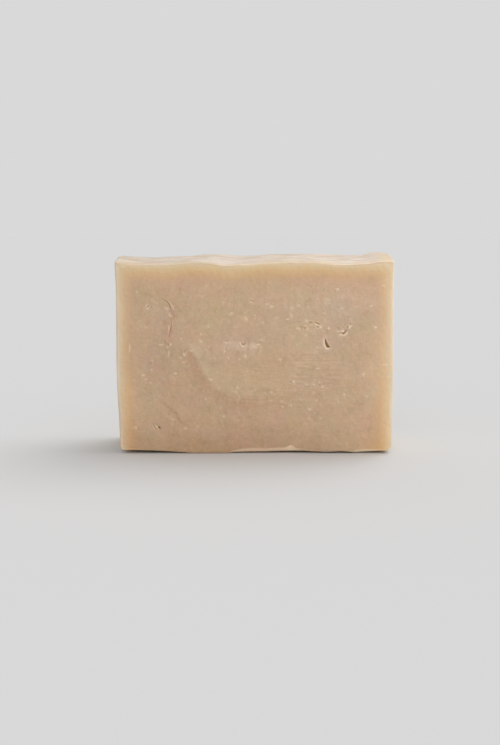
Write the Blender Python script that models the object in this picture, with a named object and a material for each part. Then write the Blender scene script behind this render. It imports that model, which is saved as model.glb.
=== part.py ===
"""A hand-cut bar of loaf soap, cast in a mould and sliced: one solid piece.

It stands on its knife-cut foot. X runs along its width, Y from the wire-cut face in front to the one behind,
and Z up to the poured top, which still holds the swell of the pour. The two ends were walls of the mould.
The origin is the middle of the foot, on the ground. Every size is in metres.
"""

import math

import bmesh
import bpy
import numpy as np

# The slice
BAR_WIDTH = 0.0856
BAR_HEIGHT = 0.0600  # at the front edge, between the ripples
BAR_THICKNESS = 0.0254
LEAN = 0.00045  # how far the top stands to the left of the foot

# Its corners and edges
CUT_EDGE_RADIUS = 0.00035  # where the wire left the soap
TOP_CORNER_RADIUS = 0.0007
LEFT_FOOT_RADIUS = 0.0014
RIGHT_FOOT_RADIUS = 0.0022

# The poured top, higher behind than in front
FRONT_RIPPLE = 0.0003  # how far the front edge swells over and under the bar's height
BACK_RISE = 0.0024  # the highest point of the back edge, at the lip by its right end
HUMP_RISE = 0.0010  # how far the left end swells between its front and back edges
POUR_RIPPLE = 0.00014
POUR_RIPPLE_LENGTH = 0.0135
POUR_BEND_LENGTH = 0.0190

# The foot, lifted at both ends by drying
LEFT_CURL_LENGTH = 0.0226
LEFT_CURL_RISE = 0.00105
RIGHT_CURL_LENGTH = 0.0112
RIGHT_CURL_RISE = 0.00080

# The foot's front edge, broken out by the knife
CHIP_HEIGHT = 0.0014  # the facet that slopes in from the face
CHIP_DEPTH = 0.0012
UNDERCUT_HEIGHT = 0.0008  # the hollow behind the facet
UNDERCUT_DEPTH = 0.0045

# The air pocket in the face
POCKET_WIDTH = 0.0017
POCKET_HEIGHT = 0.0029
POCKET_DEPTH = 0.0019

# Cracks and torn curls in the face
CRACK_WIDTH = 0.00055
CRACK_DEPTH = 0.00050
TEAR_WIDTH = 0.00080
TEAR_DEPTH = 0.00070
HAIRLINE_WIDTH = 0.00035
HAIRLINE_DEPTH = 0.00030

# Pinholes
PINHOLE_WIDTH = 0.00065
PINHOLE_DEPTH = 0.00080

CUTTER_OVERRUN = 0.0003  # how far a cutter stands out of the face

# How finely each form is drawn
EDGE_STEPS = 2
CORNER_STEPS = 4
FOOT_COLUMNS = 36
TOP_COLUMNS = 60
WALL_ROWS = 10
CHIP_STEPS = 2
UNDERCUT_STEPS = 3
BODY_STEPS = 10
PATH_STEPS = 3
PINHOLE_SIDES = 8
SMOOTH_ANGLE = math.radians(35)

# Place along the width, height as a share of FRONT_RIPPLE
FRONT_EDGE_SHARES = (
    (0.00, 0.5), (0.06, -1.0), (0.12, -1.0), (0.20, 0.0), (0.27, 0.5), (0.32, -0.5), (0.38, -1.0),
    (0.45, -0.5), (0.52, 0.0), (0.59, 1.0), (0.66, 1.0), (0.73, 0.5), (0.79, -0.5), (0.84, -1.0),
    (0.90, 0.0), (0.95, 1.0), (1.00, 1.5),
)
# Place along the width, height as a share of BACK_RISE
BACK_EDGE_SHARES = (
    (0.00, 0.25), (0.06, 0.13), (0.13, 0.13), (0.20, 0.23), (0.25, 0.38), (0.29, 0.56), (0.35, 0.67),
    (0.41, 0.67), (0.46, 0.50), (0.51, 0.44), (0.56, 0.54), (0.62, 0.62), (0.68, 0.69), (0.75, 0.69),
    (0.83, 0.62), (0.90, 0.69), (0.95, 0.87), (0.98, 1.00), (1.00, 0.94),
)
# Place along the width, height as a share of HUMP_RISE
HUMP_SHARES = ((0.00, 1.00), (0.10, 0.95), (0.20, 0.70), (0.30, 0.50), (0.60, 0.30), (1.00, 0.15))
# Place along the width, shares of UNDERCUT_HEIGHT and of CHIP_HEIGHT
BROKEN_EDGE_SHARES = (
    (0.400, 0.00, 0.00), (0.441, 0.40, 0.45), (0.478, 0.50, 0.55), (0.552, 0.65, 0.68),
    (0.607, 0.90, 0.76), (0.625, 1.00, 1.00), (0.633, 1.00, 1.00), (0.647, 0.95, 0.50),
    (0.673, 0.70, 0.30), (0.710, 0.25, 0.15), (0.736, 0.00, 0.00), (0.795, 0.00, 0.00),
    (0.810, 0.60, 0.00), (0.828, 0.30, 0.00), (0.869, 0.00, 0.00), (0.883, 0.00, 0.25),
    (0.939, 0.00, 0.28), (0.972, 0.00, 0.00),
)
# How fast the ends lift away from the ground
CURL_POWER = 2.5

# Places on the face, across its width and up its height
POCKET_PLACE_SHARES = (0.755, 0.558)
PINHOLE_PLACE_SHARES = ((0.143, 0.141), (0.108, 0.787), (0.114, 0.438), (0.476, 0.812), (0.182, 0.570))
# Corners of the pocket's mouth, within its own width and height
POCKET_MOUTH_SHARES = (
    (0.07, 1.00), (0.00, 0.70), (0.08, 0.36), (0.40, 0.08), (0.88, 0.00), (1.00, 0.10),
    (0.76, 0.36), (0.38, 0.68), (0.14, 0.93),
)
# Depth into the face and size of the mouth, as shares of the pocket's own
POCKET_SECTION_SHARES = ((0.0, 1.00), (0.45, 0.85), (0.85, 0.55), (1.0, 0.25))
TORN_CURL_SHARES = ((0.805, 0.641), (0.812, 0.635), (0.820, 0.636), (0.826, 0.644), (0.830, 0.654))
CRACK_PATH_SHARES = (
    ((0.678, 0.682), (0.690, 0.693), (0.706, 0.694)),
    ((0.710, 0.691), (0.722, 0.688), (0.731, 0.681), (0.738, 0.671)),
    ((0.679, 0.661), (0.688, 0.670), (0.704, 0.674), (0.724, 0.672)),
    ((0.833, 0.659), (0.838, 0.667), (0.846, 0.673)),
)
HAIRLINE_PATH_SHARES = (
    ((0.162, 0.816), (0.177, 0.804), (0.190, 0.785), (0.197, 0.762), (0.206, 0.724)),
    ((0.203, 0.700), (0.194, 0.673), (0.190, 0.646), (0.184, 0.622), (0.182, 0.590)),
    ((0.442, 0.588), (0.449, 0.578), (0.455, 0.575), (0.461, 0.579), (0.466, 0.588)),
    ((0.376, 0.582), (0.389, 0.589), (0.409, 0.589)),
    ((0.496, 0.583), (0.506, 0.582), (0.516, 0.584)),
)
# Width of a crack at its two ends, as a share of its width between them
CRACK_END_SHARE = 0.2

# Albedo, roughness and glow of the soap
SOAP_COLOUR = (0.515, 0.361, 0.231, 1.0)
SOAP_ROUGHNESS = 0.55
SOAP_SUBSURFACE = 0.3


def clear_scene():
    for old in list(bpy.data.objects):
        bpy.data.objects.remove(old)


def through(table, places):
    """The smooth curve through a table's points, a cubic between each two, read at the places."""
    known, heights = np.array(table).T
    slopes = np.gradient(heights, known)
    left = np.clip(np.searchsorted(known, places) - 1, 0, len(known) - 2)
    step = known[left + 1] - known[left]
    t = np.clip((places - known[left]) / step, 0, 1)
    return (
        heights[left] * (2 * t**3 - 3 * t**2 + 1)
        + slopes[left] * step * (t**3 - 2 * t**2 + t)
        + heights[left + 1] * (3 * t**2 - 2 * t**3)
        + slopes[left + 1] * step * (t**3 - t**2)
    )


def top_rise(across, depth):
    """How far the poured top stands over the bar's height, at a share of the width and a depth."""
    deep = depth / BAR_THICKNESS
    front = FRONT_RIPPLE * through(FRONT_EDGE_SHARES, across)
    back = BACK_RISE * through(BACK_EDGE_SHARES, across)
    hump = HUMP_RISE * through(HUMP_SHARES, across) * math.sin(math.pi * deep)
    bend = np.sin(2 * math.pi * depth / POUR_BEND_LENGTH)
    ripple = POUR_RIPPLE * np.sin(2 * math.pi * across * BAR_WIDTH / POUR_RIPPLE_LENGTH + bend)
    return front * (1 - deep) + back * deep + hump + ripple * math.sin(math.pi * deep)


def curl(from_end, length, rise):
    """The lift of an end of the foot, which starts at length from that end and levels off."""
    lifted = np.clip(1 - from_end / length, 0, 1)
    return rise * (1 - (1 - lifted) ** CURL_POWER)


def foot_height(across, depth):
    """How far the foot's skin stands over the ground, at a share of the width and a depth."""
    lift = curl(across * BAR_WIDTH, LEFT_CURL_LENGTH, LEFT_CURL_RISE)
    lift = lift + curl((1 - across) * BAR_WIDTH, RIGHT_CURL_LENGTH, RIGHT_CURL_RISE)
    place, undercut, facet = np.array(BROKEN_EDGE_SHARES).T
    hollow = max(0, 1 - depth / UNDERCUT_DEPTH) ** 2
    slope = max(0, 1 - depth / CHIP_DEPTH)
    lift = lift + UNDERCUT_HEIGHT * np.interp(across, place, undercut) * hollow
    return lift + CHIP_HEIGHT * np.interp(across, place, facet) * slope


def arc(corner, radius, start):
    """A quarter turn inside a corner, counterclockwise from the angle start, as X and Z."""
    turn = start + np.linspace(0, math.pi / 2, CORNER_STEPS + 1)
    inwards = -math.sqrt(2) * np.array((math.cos(start + math.pi / 4), math.sin(start + math.pi / 4)))
    centre = np.array(corner) + radius * inwards
    return centre + radius * np.stack((np.cos(turn), np.sin(turn)), 1)


def foot_columns():
    """Shares of the width at which the foot has a point: evenly, and at each corner of its broken edge."""
    first = LEFT_FOOT_RADIUS / BAR_WIDTH
    last = 1 - RIGHT_FOOT_RADIUS / BAR_WIDTH
    even = np.linspace(first, last, FOOT_COLUMNS + 1)
    broken = np.array(BROKEN_EDGE_SHARES)[:, 0]
    apart = np.abs(even[:, None] - broken[None, :]).min(1)
    kept = even[(apart > (last - first) / FOOT_COLUMNS / 3) | (even == first) | (even == last)]
    return np.sort(np.concatenate((kept, broken[(broken > first) & (broken < last)])))


def outline(depth):
    """The slice's outline at a depth behind the front face, counterclockwise from the foot's left end."""
    right, left = BAR_WIDTH / 2, -BAR_WIDTH / 2
    columns = foot_columns()
    foot = np.stack((left + columns * BAR_WIDTH, foot_height(columns, depth)), 1)
    left_top = BAR_HEIGHT + float(top_rise(np.array(0.0), depth))
    right_top = BAR_HEIGHT + float(top_rise(np.array(1.0), depth))
    right_foot = arc((right, foot[-1, 1]), RIGHT_FOOT_RADIUS, -math.pi / 2)
    left_foot = arc((left, foot[0, 1]), LEFT_FOOT_RADIUS, math.pi)
    right_shoulder = arc((right, right_top), TOP_CORNER_RADIUS, 0)
    left_shoulder = arc((left, left_top), TOP_CORNER_RADIUS, math.pi / 2)
    edge = TOP_CORNER_RADIUS / BAR_WIDTH
    columns = np.linspace(1 - edge, edge, TOP_COLUMNS + 1)[1:-1]
    top = np.stack((left + columns * BAR_WIDTH, BAR_HEIGHT + top_rise(columns, depth)), 1)
    right_wall = np.linspace(right_foot[-1], right_shoulder[0], WALL_ROWS + 1)[1:-1]
    left_wall = np.linspace(left_shoulder[-1], left_foot[0], WALL_ROWS + 1)[1:-1]
    points = np.concatenate(
        (foot, right_foot[1:], right_wall, right_shoulder, top, left_shoulder, left_wall, left_foot[:-1])
    )
    points[:, 0] += LEAN * (0.5 - points[:, 1] / BAR_HEIGHT)
    return points


def set_in(points, inset):
    """An outline moved inwards, square to itself."""
    along = np.roll(points, -1, 0) - np.roll(points, 1, 0)
    along /= np.linalg.norm(along, axis=1, keepdims=True)
    return points + inset * np.stack((-along[:, 1], along[:, 0]), 1)


def section_rows():
    """Depth and inset of each section, from the front face to the back one."""
    turn = np.linspace(0, math.pi / 2, EDGE_STEPS + 1)
    depth = CUT_EDGE_RADIUS * (1 - np.cos(turn))
    inset = CUT_EDGE_RADIUS * (1 - np.sin(turn))
    rounded = list(zip(depth, inset))
    chip = np.linspace(CUT_EDGE_RADIUS, CHIP_DEPTH, CHIP_STEPS + 1)[1:]
    undercut = np.linspace(CHIP_DEPTH, UNDERCUT_DEPTH, UNDERCUT_STEPS + 1)[1:]
    body = np.linspace(UNDERCUT_DEPTH, BAR_THICKNESS - CUT_EDGE_RADIUS, BODY_STEPS + 1)[1:-1]
    plain = [(row, 0.0) for row in (*chip, *undercut, *body)]
    behind = [(BAR_THICKNESS - row, inwards) for row, inwards in reversed(rounded)]
    return rounded + plain + behind


def mesh_object(name, bm):
    """A new object that holds the built mesh, facing out."""
    bmesh.ops.recalc_face_normals(bm, faces=bm.faces)
    mesh = bpy.data.meshes.new(name)
    bm.to_mesh(mesh)
    bm.free()
    made = bpy.data.objects.new(name, mesh)
    bpy.context.scene.collection.objects.link(made)
    return made


def bridge(bm, sections):
    """Closed solid through sections with equally many corners, in order, with a cap at each end."""
    rings = [[bm.verts.new(corner) for corner in section] for section in sections]
    for ring, following in zip(rings, rings[1:]):
        for i in range(len(ring)):
            j = (i + 1) % len(ring)
            bm.faces.new((ring[i], ring[j], following[j], following[i]))
    bm.faces.new(rings[0])
    bm.faces.new(rings[-1])


def bar_body():
    """The slice, lofted through its sections, with its level faces made whole."""
    bm = bmesh.new()
    sections = []
    for depth, inset in section_rows():
        points = set_in(outline(depth), inset)
        points[:, 1] = np.maximum(points[:, 1], 0)
        y = depth - BAR_THICKNESS / 2
        sections.append([(x, y, z) for x, z in points])
    bridge(bm, sections)
    level = [v for v in bm.verts if v.co.z == 0]
    flat_edges = [e for v in level for e in v.link_edges if e.other_vert(v).co.z == 0]
    bmesh.ops.dissolve_limit(bm, angle_limit=math.radians(0.01), verts=level, edges=list(set(flat_edges)))
    return mesh_object("soap_bar", bm)


def on_face(across_share, up_share):
    """A place on the front face, as X and Z."""
    lean = LEAN * (0.5 - up_share)
    return np.array(((across_share - 0.5) * BAR_WIDTH + lean, up_share * BAR_HEIGHT))


def into_face(place, depth):
    return (place[0], depth - BAR_THICKNESS / 2, place[1])


def crack_cutter(name, path_shares, width, depth):
    """A keel along a smooth path on the face, thin at its ends, that leaves a V-shaped crack."""
    corners = np.array([on_face(*share) for share in path_shares])
    stations = np.linspace(0, len(corners) - 1, PATH_STEPS * (len(corners) - 1) + 1)
    count = np.arange(len(corners))
    path = np.stack([through(list(zip(count, corners[:, i])), stations) for i in (0, 1)], 1)
    along = np.gradient(path, axis=0)
    along /= np.linalg.norm(along, axis=1, keepdims=True)
    beside = np.stack((-along[:, 1], along[:, 0]), 1)
    swell = CRACK_END_SHARE + (1 - CRACK_END_SHARE) * np.sin(np.linspace(0, math.pi, len(path)))
    sections = []
    for place, side, full in zip(path, beside, swell):
        sections.append(
            [
                into_face(place + side * width / 2 * full, -CUTTER_OVERRUN),
                into_face(place - side * width / 2 * full, -CUTTER_OVERRUN),
                into_face(place, depth * full),
            ]
        )
    bm = bmesh.new()
    bridge(bm, sections)
    return mesh_object(name, bm)


def pocket_cutter():
    """The air pocket: its fin-shaped mouth, drawn in towards its lower right as it goes deeper."""
    size = np.array((POCKET_WIDTH, POCKET_HEIGHT))
    mouth = on_face(*POCKET_PLACE_SHARES) + np.array(POCKET_MOUTH_SHARES) * size
    deepest = mouth.mean(0)
    sections = [[into_face(corner, -CUTTER_OVERRUN) for corner in mouth]]
    for depth_share, size_share in POCKET_SECTION_SHARES:
        narrowed = deepest + (mouth - deepest) * size_share
        sections.append([into_face(corner, POCKET_DEPTH * depth_share) for corner in narrowed])
    bm = bmesh.new()
    bridge(bm, sections)
    return mesh_object("air_pocket_cutter", bm)


def pinhole_cutter(name, place_shares):
    """A small cone, point inwards."""
    turn = np.linspace(0, 2 * math.pi, PINHOLE_SIDES, endpoint=False)
    ring = np.stack((np.cos(turn), np.sin(turn)), 1) * PINHOLE_WIDTH / 2
    place = on_face(*place_shares)
    bm = bmesh.new()
    rim = [bm.verts.new(into_face(place + corner, -CUTTER_OVERRUN)) for corner in ring]
    tip = bm.verts.new(into_face(place, PINHOLE_DEPTH))
    bm.faces.new(rim)
    for i in range(PINHOLE_SIDES):
        bm.faces.new((rim[i], rim[(i + 1) % PINHOLE_SIDES], tip))
    return mesh_object(name, bm)


def cut(bar, cutter):
    """Takes the cutter's shape out of the bar, and keeps the cutter as a hidden guide."""
    cutter.hide_render = True
    cutter.display_type = "WIRE"
    boolean = bar.modifiers.new(cutter.name, "BOOLEAN")
    boolean.operation = "DIFFERENCE"
    boolean.solver = "EXACT"
    boolean.object = cutter


def soap_material():
    material = bpy.data.materials.new("soap")
    material.use_nodes = True
    shader = material.node_tree.nodes["Principled BSDF"]
    shader.inputs["Base Color"].default_value = SOAP_COLOUR
    shader.inputs["Roughness"].default_value = SOAP_ROUGHNESS
    shader.inputs["Subsurface Weight"].default_value = SOAP_SUBSURFACE
    return material


def build_bar():
    bar = bar_body()
    cut(bar, pocket_cutter())
    cut(bar, crack_cutter("torn_curl_cutter", TORN_CURL_SHARES, TEAR_WIDTH, TEAR_DEPTH))
    for number, path in enumerate(CRACK_PATH_SHARES):
        cut(bar, crack_cutter(f"crack_cutter_{number}", path, CRACK_WIDTH, CRACK_DEPTH))
    for number, path in enumerate(HAIRLINE_PATH_SHARES):
        cut(bar, crack_cutter(f"hairline_cutter_{number}", path, HAIRLINE_WIDTH, HAIRLINE_DEPTH))
    for number, place in enumerate(PINHOLE_PLACE_SHARES):
        cut(bar, pinhole_cutter(f"pinhole_cutter_{number}", place))
    bar.data.materials.append(soap_material())
    bar.data.shade_smooth()
    bar.data.set_sharp_from_angle(angle=SMOOTH_ANGLE)


clear_scene()
build_bar()
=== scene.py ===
"""The looks of a hand-cut bar of loaf soap that stands on its long edge.

One closed surface stands for the solid bar and follows the same formulas: a poured top that swells and
ripples, an outline that leans a little, and a foot that the knife broke out. The marks of the cut face and
the soap's finish come on top. X runs along the bar's width, Y from the front cut face to the back one, and
Z up. Lengths are in metres.
"""

import logging
import math
from dataclasses import dataclass, field
from enum import Enum

import bpy
import numpy as np
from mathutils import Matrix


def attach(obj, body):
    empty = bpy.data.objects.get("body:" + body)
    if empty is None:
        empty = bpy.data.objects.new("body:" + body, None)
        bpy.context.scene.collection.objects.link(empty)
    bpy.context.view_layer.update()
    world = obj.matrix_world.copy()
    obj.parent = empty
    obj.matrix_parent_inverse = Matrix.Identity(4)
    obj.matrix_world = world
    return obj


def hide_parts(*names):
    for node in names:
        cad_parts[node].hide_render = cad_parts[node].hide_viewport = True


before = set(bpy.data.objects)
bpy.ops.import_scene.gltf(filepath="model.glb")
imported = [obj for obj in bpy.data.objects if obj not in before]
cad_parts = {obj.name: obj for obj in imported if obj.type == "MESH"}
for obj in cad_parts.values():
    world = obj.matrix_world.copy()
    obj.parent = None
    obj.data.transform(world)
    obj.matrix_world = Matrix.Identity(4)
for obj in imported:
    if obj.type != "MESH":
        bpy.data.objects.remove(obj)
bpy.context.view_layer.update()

Numbers = np.ndarray
Table = tuple[tuple[float, ...], ...]
Triple = tuple[float, float, float]
Object = bpy.types.Object
Socket = bpy.types.NodeSocket
Source = Socket | float | Triple
Inputs = dict[int | str, Source]


def through(table: Table, places: Numbers) -> Numbers:
    """Reads the smooth curve through a table's points: cubics, sloped as each point's neighbours lie.

    Args:
        table: Rows of a place and the curve's height there, in rising order of place.
        places: Where the curve is read.

    Returns:
        The height at each place.
    """
    known, heights = np.array(table).T
    slopes = np.gradient(heights, known)
    left = np.clip(np.searchsorted(known, places) - 1, 0, len(known) - 2)
    step = known[left + 1] - known[left]
    t = np.clip((places - known[left]) / step, 0, 1)
    return (
        heights[left] * (2 * t**3 - 3 * t**2 + 1)
        + slopes[left] * step * (t**3 - 2 * t**2 + t)
        + heights[left + 1] * (3 * t**2 - 2 * t**3)
        + slopes[left + 1] * step * (t**3 - t**2)
    )


def ease(value: Numbers, low: float, high: float) -> Numbers:
    """Rises from 0 at low to 1 at high, or falls if low is larger: thrice the square less twice the cube."""
    t = np.clip((value - low) / (high - low), 0, 1)
    return t * t * (3 - 2 * t)


def bell(value: Numbers) -> Numbers:
    """A bell curve, 1 at 0: the exponential of less the square."""
    return np.exp(-(value**2))


def at_least(low: float, share: Numbers) -> Numbers:
    """Squeezes a share between 0 and 1 into the range from low to 1."""
    return low + (1 - low) * share


def shares(*run: int) -> Table:
    """Pairs a run of thousandths as rows of a share of the width and a share of the height."""
    return tuple((across / 1000, up / 1000) for across, up in zip(run[::2], run[1::2]))


def between(rings: Numbers) -> Numbers:
    """Rows of four point numbers: the faces between each two of some closed rings."""
    following = np.roll(rings, -1, 1)
    return np.stack((rings[:-1], rings[1:], following[1:], following[:-1]), 2).reshape(-1, 4)


def placed(name: str, data: bpy.types.ID) -> Object:
    """Puts a new object into the scene.

    Args:
        name: The object's name.
        data: Its mesh, lamp or camera.

    Returns:
        The object.
    """
    made = bpy.data.objects.new(name, data)
    bpy.context.scene.collection.objects.link(made)
    return made


@dataclass(frozen=True)
class Waves:
    """A smooth random field: sine waves of about one length, each in its own direction.

    The stretch is how many times longer they are along the first direction than along the second, and the
    spread is the range of their lengths as shares of the middle one.
    """

    length: float
    count: int
    seed: int
    stretch: float = 1.0
    spread: tuple[float, float] = (0.6, 1.6)

    def at(self, across: Numbers, up: Numbers) -> Numbers:
        """Adds the waves, scaled so that the field's mean square is one.

        Args:
            across: Places along the first direction.
            up: Places along the second direction.

        Returns:
            The field at each place.
        """
        draws = np.random.default_rng(self.seed)
        turns = draws.uniform(0, math.pi, self.count)
        lengths = self.length * draws.uniform(*self.spread, self.count)
        phases = draws.uniform(0, 2 * math.pi, self.count)
        field_sum = np.zeros(np.broadcast(across, up).shape)
        for turn, length, phase in zip(turns, lengths, phases):
            run = across / self.stretch * math.cos(turn) + up * math.sin(turn)
            field_sum += np.sin(2 * math.pi * run / length + phase)
        return field_sum * math.sqrt(2 / self.count)


@dataclass(frozen=True)
class SliceSizes:
    """The slice's outer sizes, as in the solid. A bulge's rows are a share of the height and millimetres."""

    width: float = 0.0856
    height: float = 0.0600
    thickness: float = 0.0254
    lean: float = 0.00045
    edge_radius: float = 0.00035
    top_corner_radius: float = 0.00045
    left_foot_radius: float = 0.0014
    right_foot_radius: float = 0.0022
    left_bulge: Table = (
        (0, 0.05), (0.15, 0.16), (0.25, 0.34), (0.36, 0.5), (0.47, 0.54), (0.58, 0.46), (0.69, 0.38),
        (0.8, 0.14), (0.88, 0.12), (0.94, 0.26), (1, 0.28),
    )
    right_bulge: Table = (
        (0, 0.1), (0.2, 0.15), (0.5, 0.24), (0.8, 0.16), (1, 0.14),
    )

    def leaning(self, up: Numbers) -> Numbers:
        """How far the slice stands to the right of its own middle at a height."""
        return self.lean * (0.5 - up / self.height)

    def bulge(self, table: Table, up: Numbers) -> Numbers:
        """How far an end stands out at a height."""
        return through(table, up / self.height) / 1000

    def on_face(self, rows: Table) -> Numbers:
        """Turns places on the cut face into metres.

        Args:
            rows: Rows of a share of the width and a share of the height.

        Returns:
            Rows of X and Z.
        """
        across, up = np.array(rows).T
        z = up * self.height
        return np.stack(((across - 0.5) * self.width + self.leaning(z), z), 1)

    def from_zone(self, x: Numbers, z: Numbers, zone: tuple[float, ...]) -> Numbers:
        """How far each place lies from a zone's middle, where 1 is half the zone's size.

        Args:
            x: X of each place.
            z: Its Z.
            zone: The middle and the half sizes, as shares of the face.

        Returns:
            The distances.
        """
        across, up, half_across, half_up = zone
        middle_x, middle_z = self.on_face(((across, up),))[0]
        return np.hypot((x - middle_x) / (half_across * self.width), (z - middle_z) / (half_up * self.height))


@dataclass(frozen=True)
class PouredTop:
    """The poured top: it swells along its front edge and rises to the back, with a lip by the right corner.

    The tables' rows are a share of the width and a share of the rise of the same name.
    """

    sizes: SliceSizes
    front_ripple: float = 0.0003
    back_rise: float = 0.0024
    hump_rise: float = 0.0010
    pour_ripple: float = 0.00014
    pour_ripple_length: float = 0.0135
    pour_bend_length: float = 0.0190
    edge_drop: float = 0.00020
    edge_reach: float = 0.0011
    skin_ripple: float = 0.00006
    skin_at_edge: float = 0.25
    skin_waves: Waves = Waves(length=0.0048, count=18, seed=4, stretch=1.6)
    front_edge: Table = (
        (0, 1.5), (0.06, -0.7), (0.12, -1.6), (0.16, -1.7), (0.2, -0.9), (0.26, 0.7), (0.31, 0.4),
        (0.345, -0.4), (0.38, -2.1), (0.45, -1.6), (0.52, 0.1), (0.59, 0.9), (0.66, 1), (0.73, 0.9),
        (0.79, -0.9), (0.85, -1.2), (0.9, -0.3), (0.95, 1.6), (1, 1.5),
    )
    back_edge: Table = (
        (0, 0.4), (0.06, 0.22), (0.13, 0.31), (0.2, 0.42), (0.25, 0.49), (0.29, 0.7), (0.35, 0.81),
        (0.41, 0.68), (0.46, 0.58), (0.51, 0.65), (0.56, 0.77), (0.62, 0.84), (0.68, 0.84), (0.75, 0.87),
        (0.83, 0.71), (0.9, 0.68), (0.95, 1.02), (0.97, 1.09), (0.985, 0.94), (1, 0.78),
    )
    hump: Table = (
        (0, 1), (0.1, 0.95), (0.2, 0.7), (0.3, 0.5), (0.6, 0.3), (0.9, 0.2), (0.96, 0.6), (1, 1),
    )

    def rise(self, across: Numbers, depth: Numbers) -> Numbers:
        """How far the top stands over the slice's height.

        Depth mixes the front edge's curve and the back edge's. A half sine over it carries the hump and the
        pour's ripple, a sine along the width that bends with the depth. The skin's waves come on top, and
        the front edge sinks with the square of the distance to its reach.

        Args:
            across: Shares of the width.
            depth: Depths behind the front face.

        Returns:
            The rise at each place.
        """
        sizes = self.sizes
        deep = depth / sizes.thickness
        arch = np.sin(np.pi * np.clip(deep, 0, 1))
        front = self.front_ripple * through(self.front_edge, across)
        back = self.back_rise * through(self.back_edge, across)
        bend = np.sin(2 * np.pi * depth / self.pour_bend_length)
        run = 2 * np.pi * across * sizes.width / self.pour_ripple_length
        ripple = self.pour_ripple * np.sin(run + bend)
        skin = self.skin_ripple * self.skin_waves.at(across * sizes.width, depth)
        hump = self.hump_rise * through(self.hump, across)
        drop = self.edge_drop * np.clip(1 - depth / self.edge_reach, 0, 1) ** 2
        over = front * (1 - deep) + back * deep + (hump + ripple) * arch
        return over + skin * at_least(self.skin_at_edge, arch) - drop


@dataclass(frozen=True)
class CutFoot:
    """The knife-cut foot: both ends lift a little, and its front edge is broken out.

    The broken edge's rows are a share of the width, a share of the undercut and one of the chipped facet.
    """

    sizes: SliceSizes
    left_curl_length: float = 0.0226
    left_curl_rise: float = 0.00105
    right_curl_length: float = 0.0112
    right_curl_rise: float = 0.00080
    curl_power: float = 2.5
    chip_height: float = 0.0014
    chip_depth: float = 0.0004
    undercut_height: float = 0.0008
    undercut_depth: float = 0.0045
    broken_edge: Table = (
        (0.395, 0, 0), (0.413, 0.5, 0.2), (0.425, 0.6, 0.25), (0.443, 0.7, 0.42), (0.461, 0.82, 0.48),
        (0.498, 0.88, 0.48), (0.535, 0.97, 0.36), (0.572, 1.17, 0.36), (0.609, 1.36, 0.42),
        (0.62, 1.42, 0.7), (0.627, 1.45, 0.96), (0.639, 1.42, 0.66), (0.646, 1.36, 0.3),
        (0.675, 1.32, 0.12), (0.709, 0.95, 0.12), (0.738, 0.75, 0.06), (0.757, 0.6, 0.08), (0.79, 0.75, 0),
        (0.812, 1, 0), (0.83, 0.8, 0), (0.856, 0.5, 0.05), (0.871, 0.5, 0.28), (0.886, 0.35, 0.32),
        (0.93, 0.05, 0.3), (0.952, 0, 0.2), (0.972, 0, 0.05), (0.985, 0, 0),
    )

    def curl(self, from_end: Numbers, length: float, rise: float) -> Numbers:
        """The lift of an end: the rise there, times one less a power of the share of its length."""
        lifted = np.clip(1 - from_end / length, 0, 1)
        return rise * (1 - (1 - lifted) ** self.curl_power)

    def broken(self, across: Numbers, column: int) -> Numbers:
        """One column of the broken edge's table, 1 for the undercut and 2 for the facet."""
        table = np.array(self.broken_edge).T
        return np.interp(across, table[0], table[column])

    def height(self, across: Numbers, depth: Numbers) -> Numbers:
        """How far the foot stands over the ground: its ends' curls, the undercut and the facet together.

        The undercut falls with the square of the depth, and the facet evenly with it.

        Args:
            across: Shares of the width.
            depth: Depths behind the front face.

        Returns:
            The height at each place.
        """
        width = self.sizes.width
        hollow = np.clip(1 - depth / self.undercut_depth, 0, 1) ** 2
        slope = np.clip(1 - depth / self.chip_depth, 0, 1)
        lift = self.curl(across * width, self.left_curl_length, self.left_curl_rise)
        lift = lift + self.curl((1 - across) * width, self.right_curl_length, self.right_curl_rise)
        lift = lift + self.undercut_height * self.broken(across, 1) * hollow
        return lift + self.chip_height * self.broken(across, 2) * slope


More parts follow.
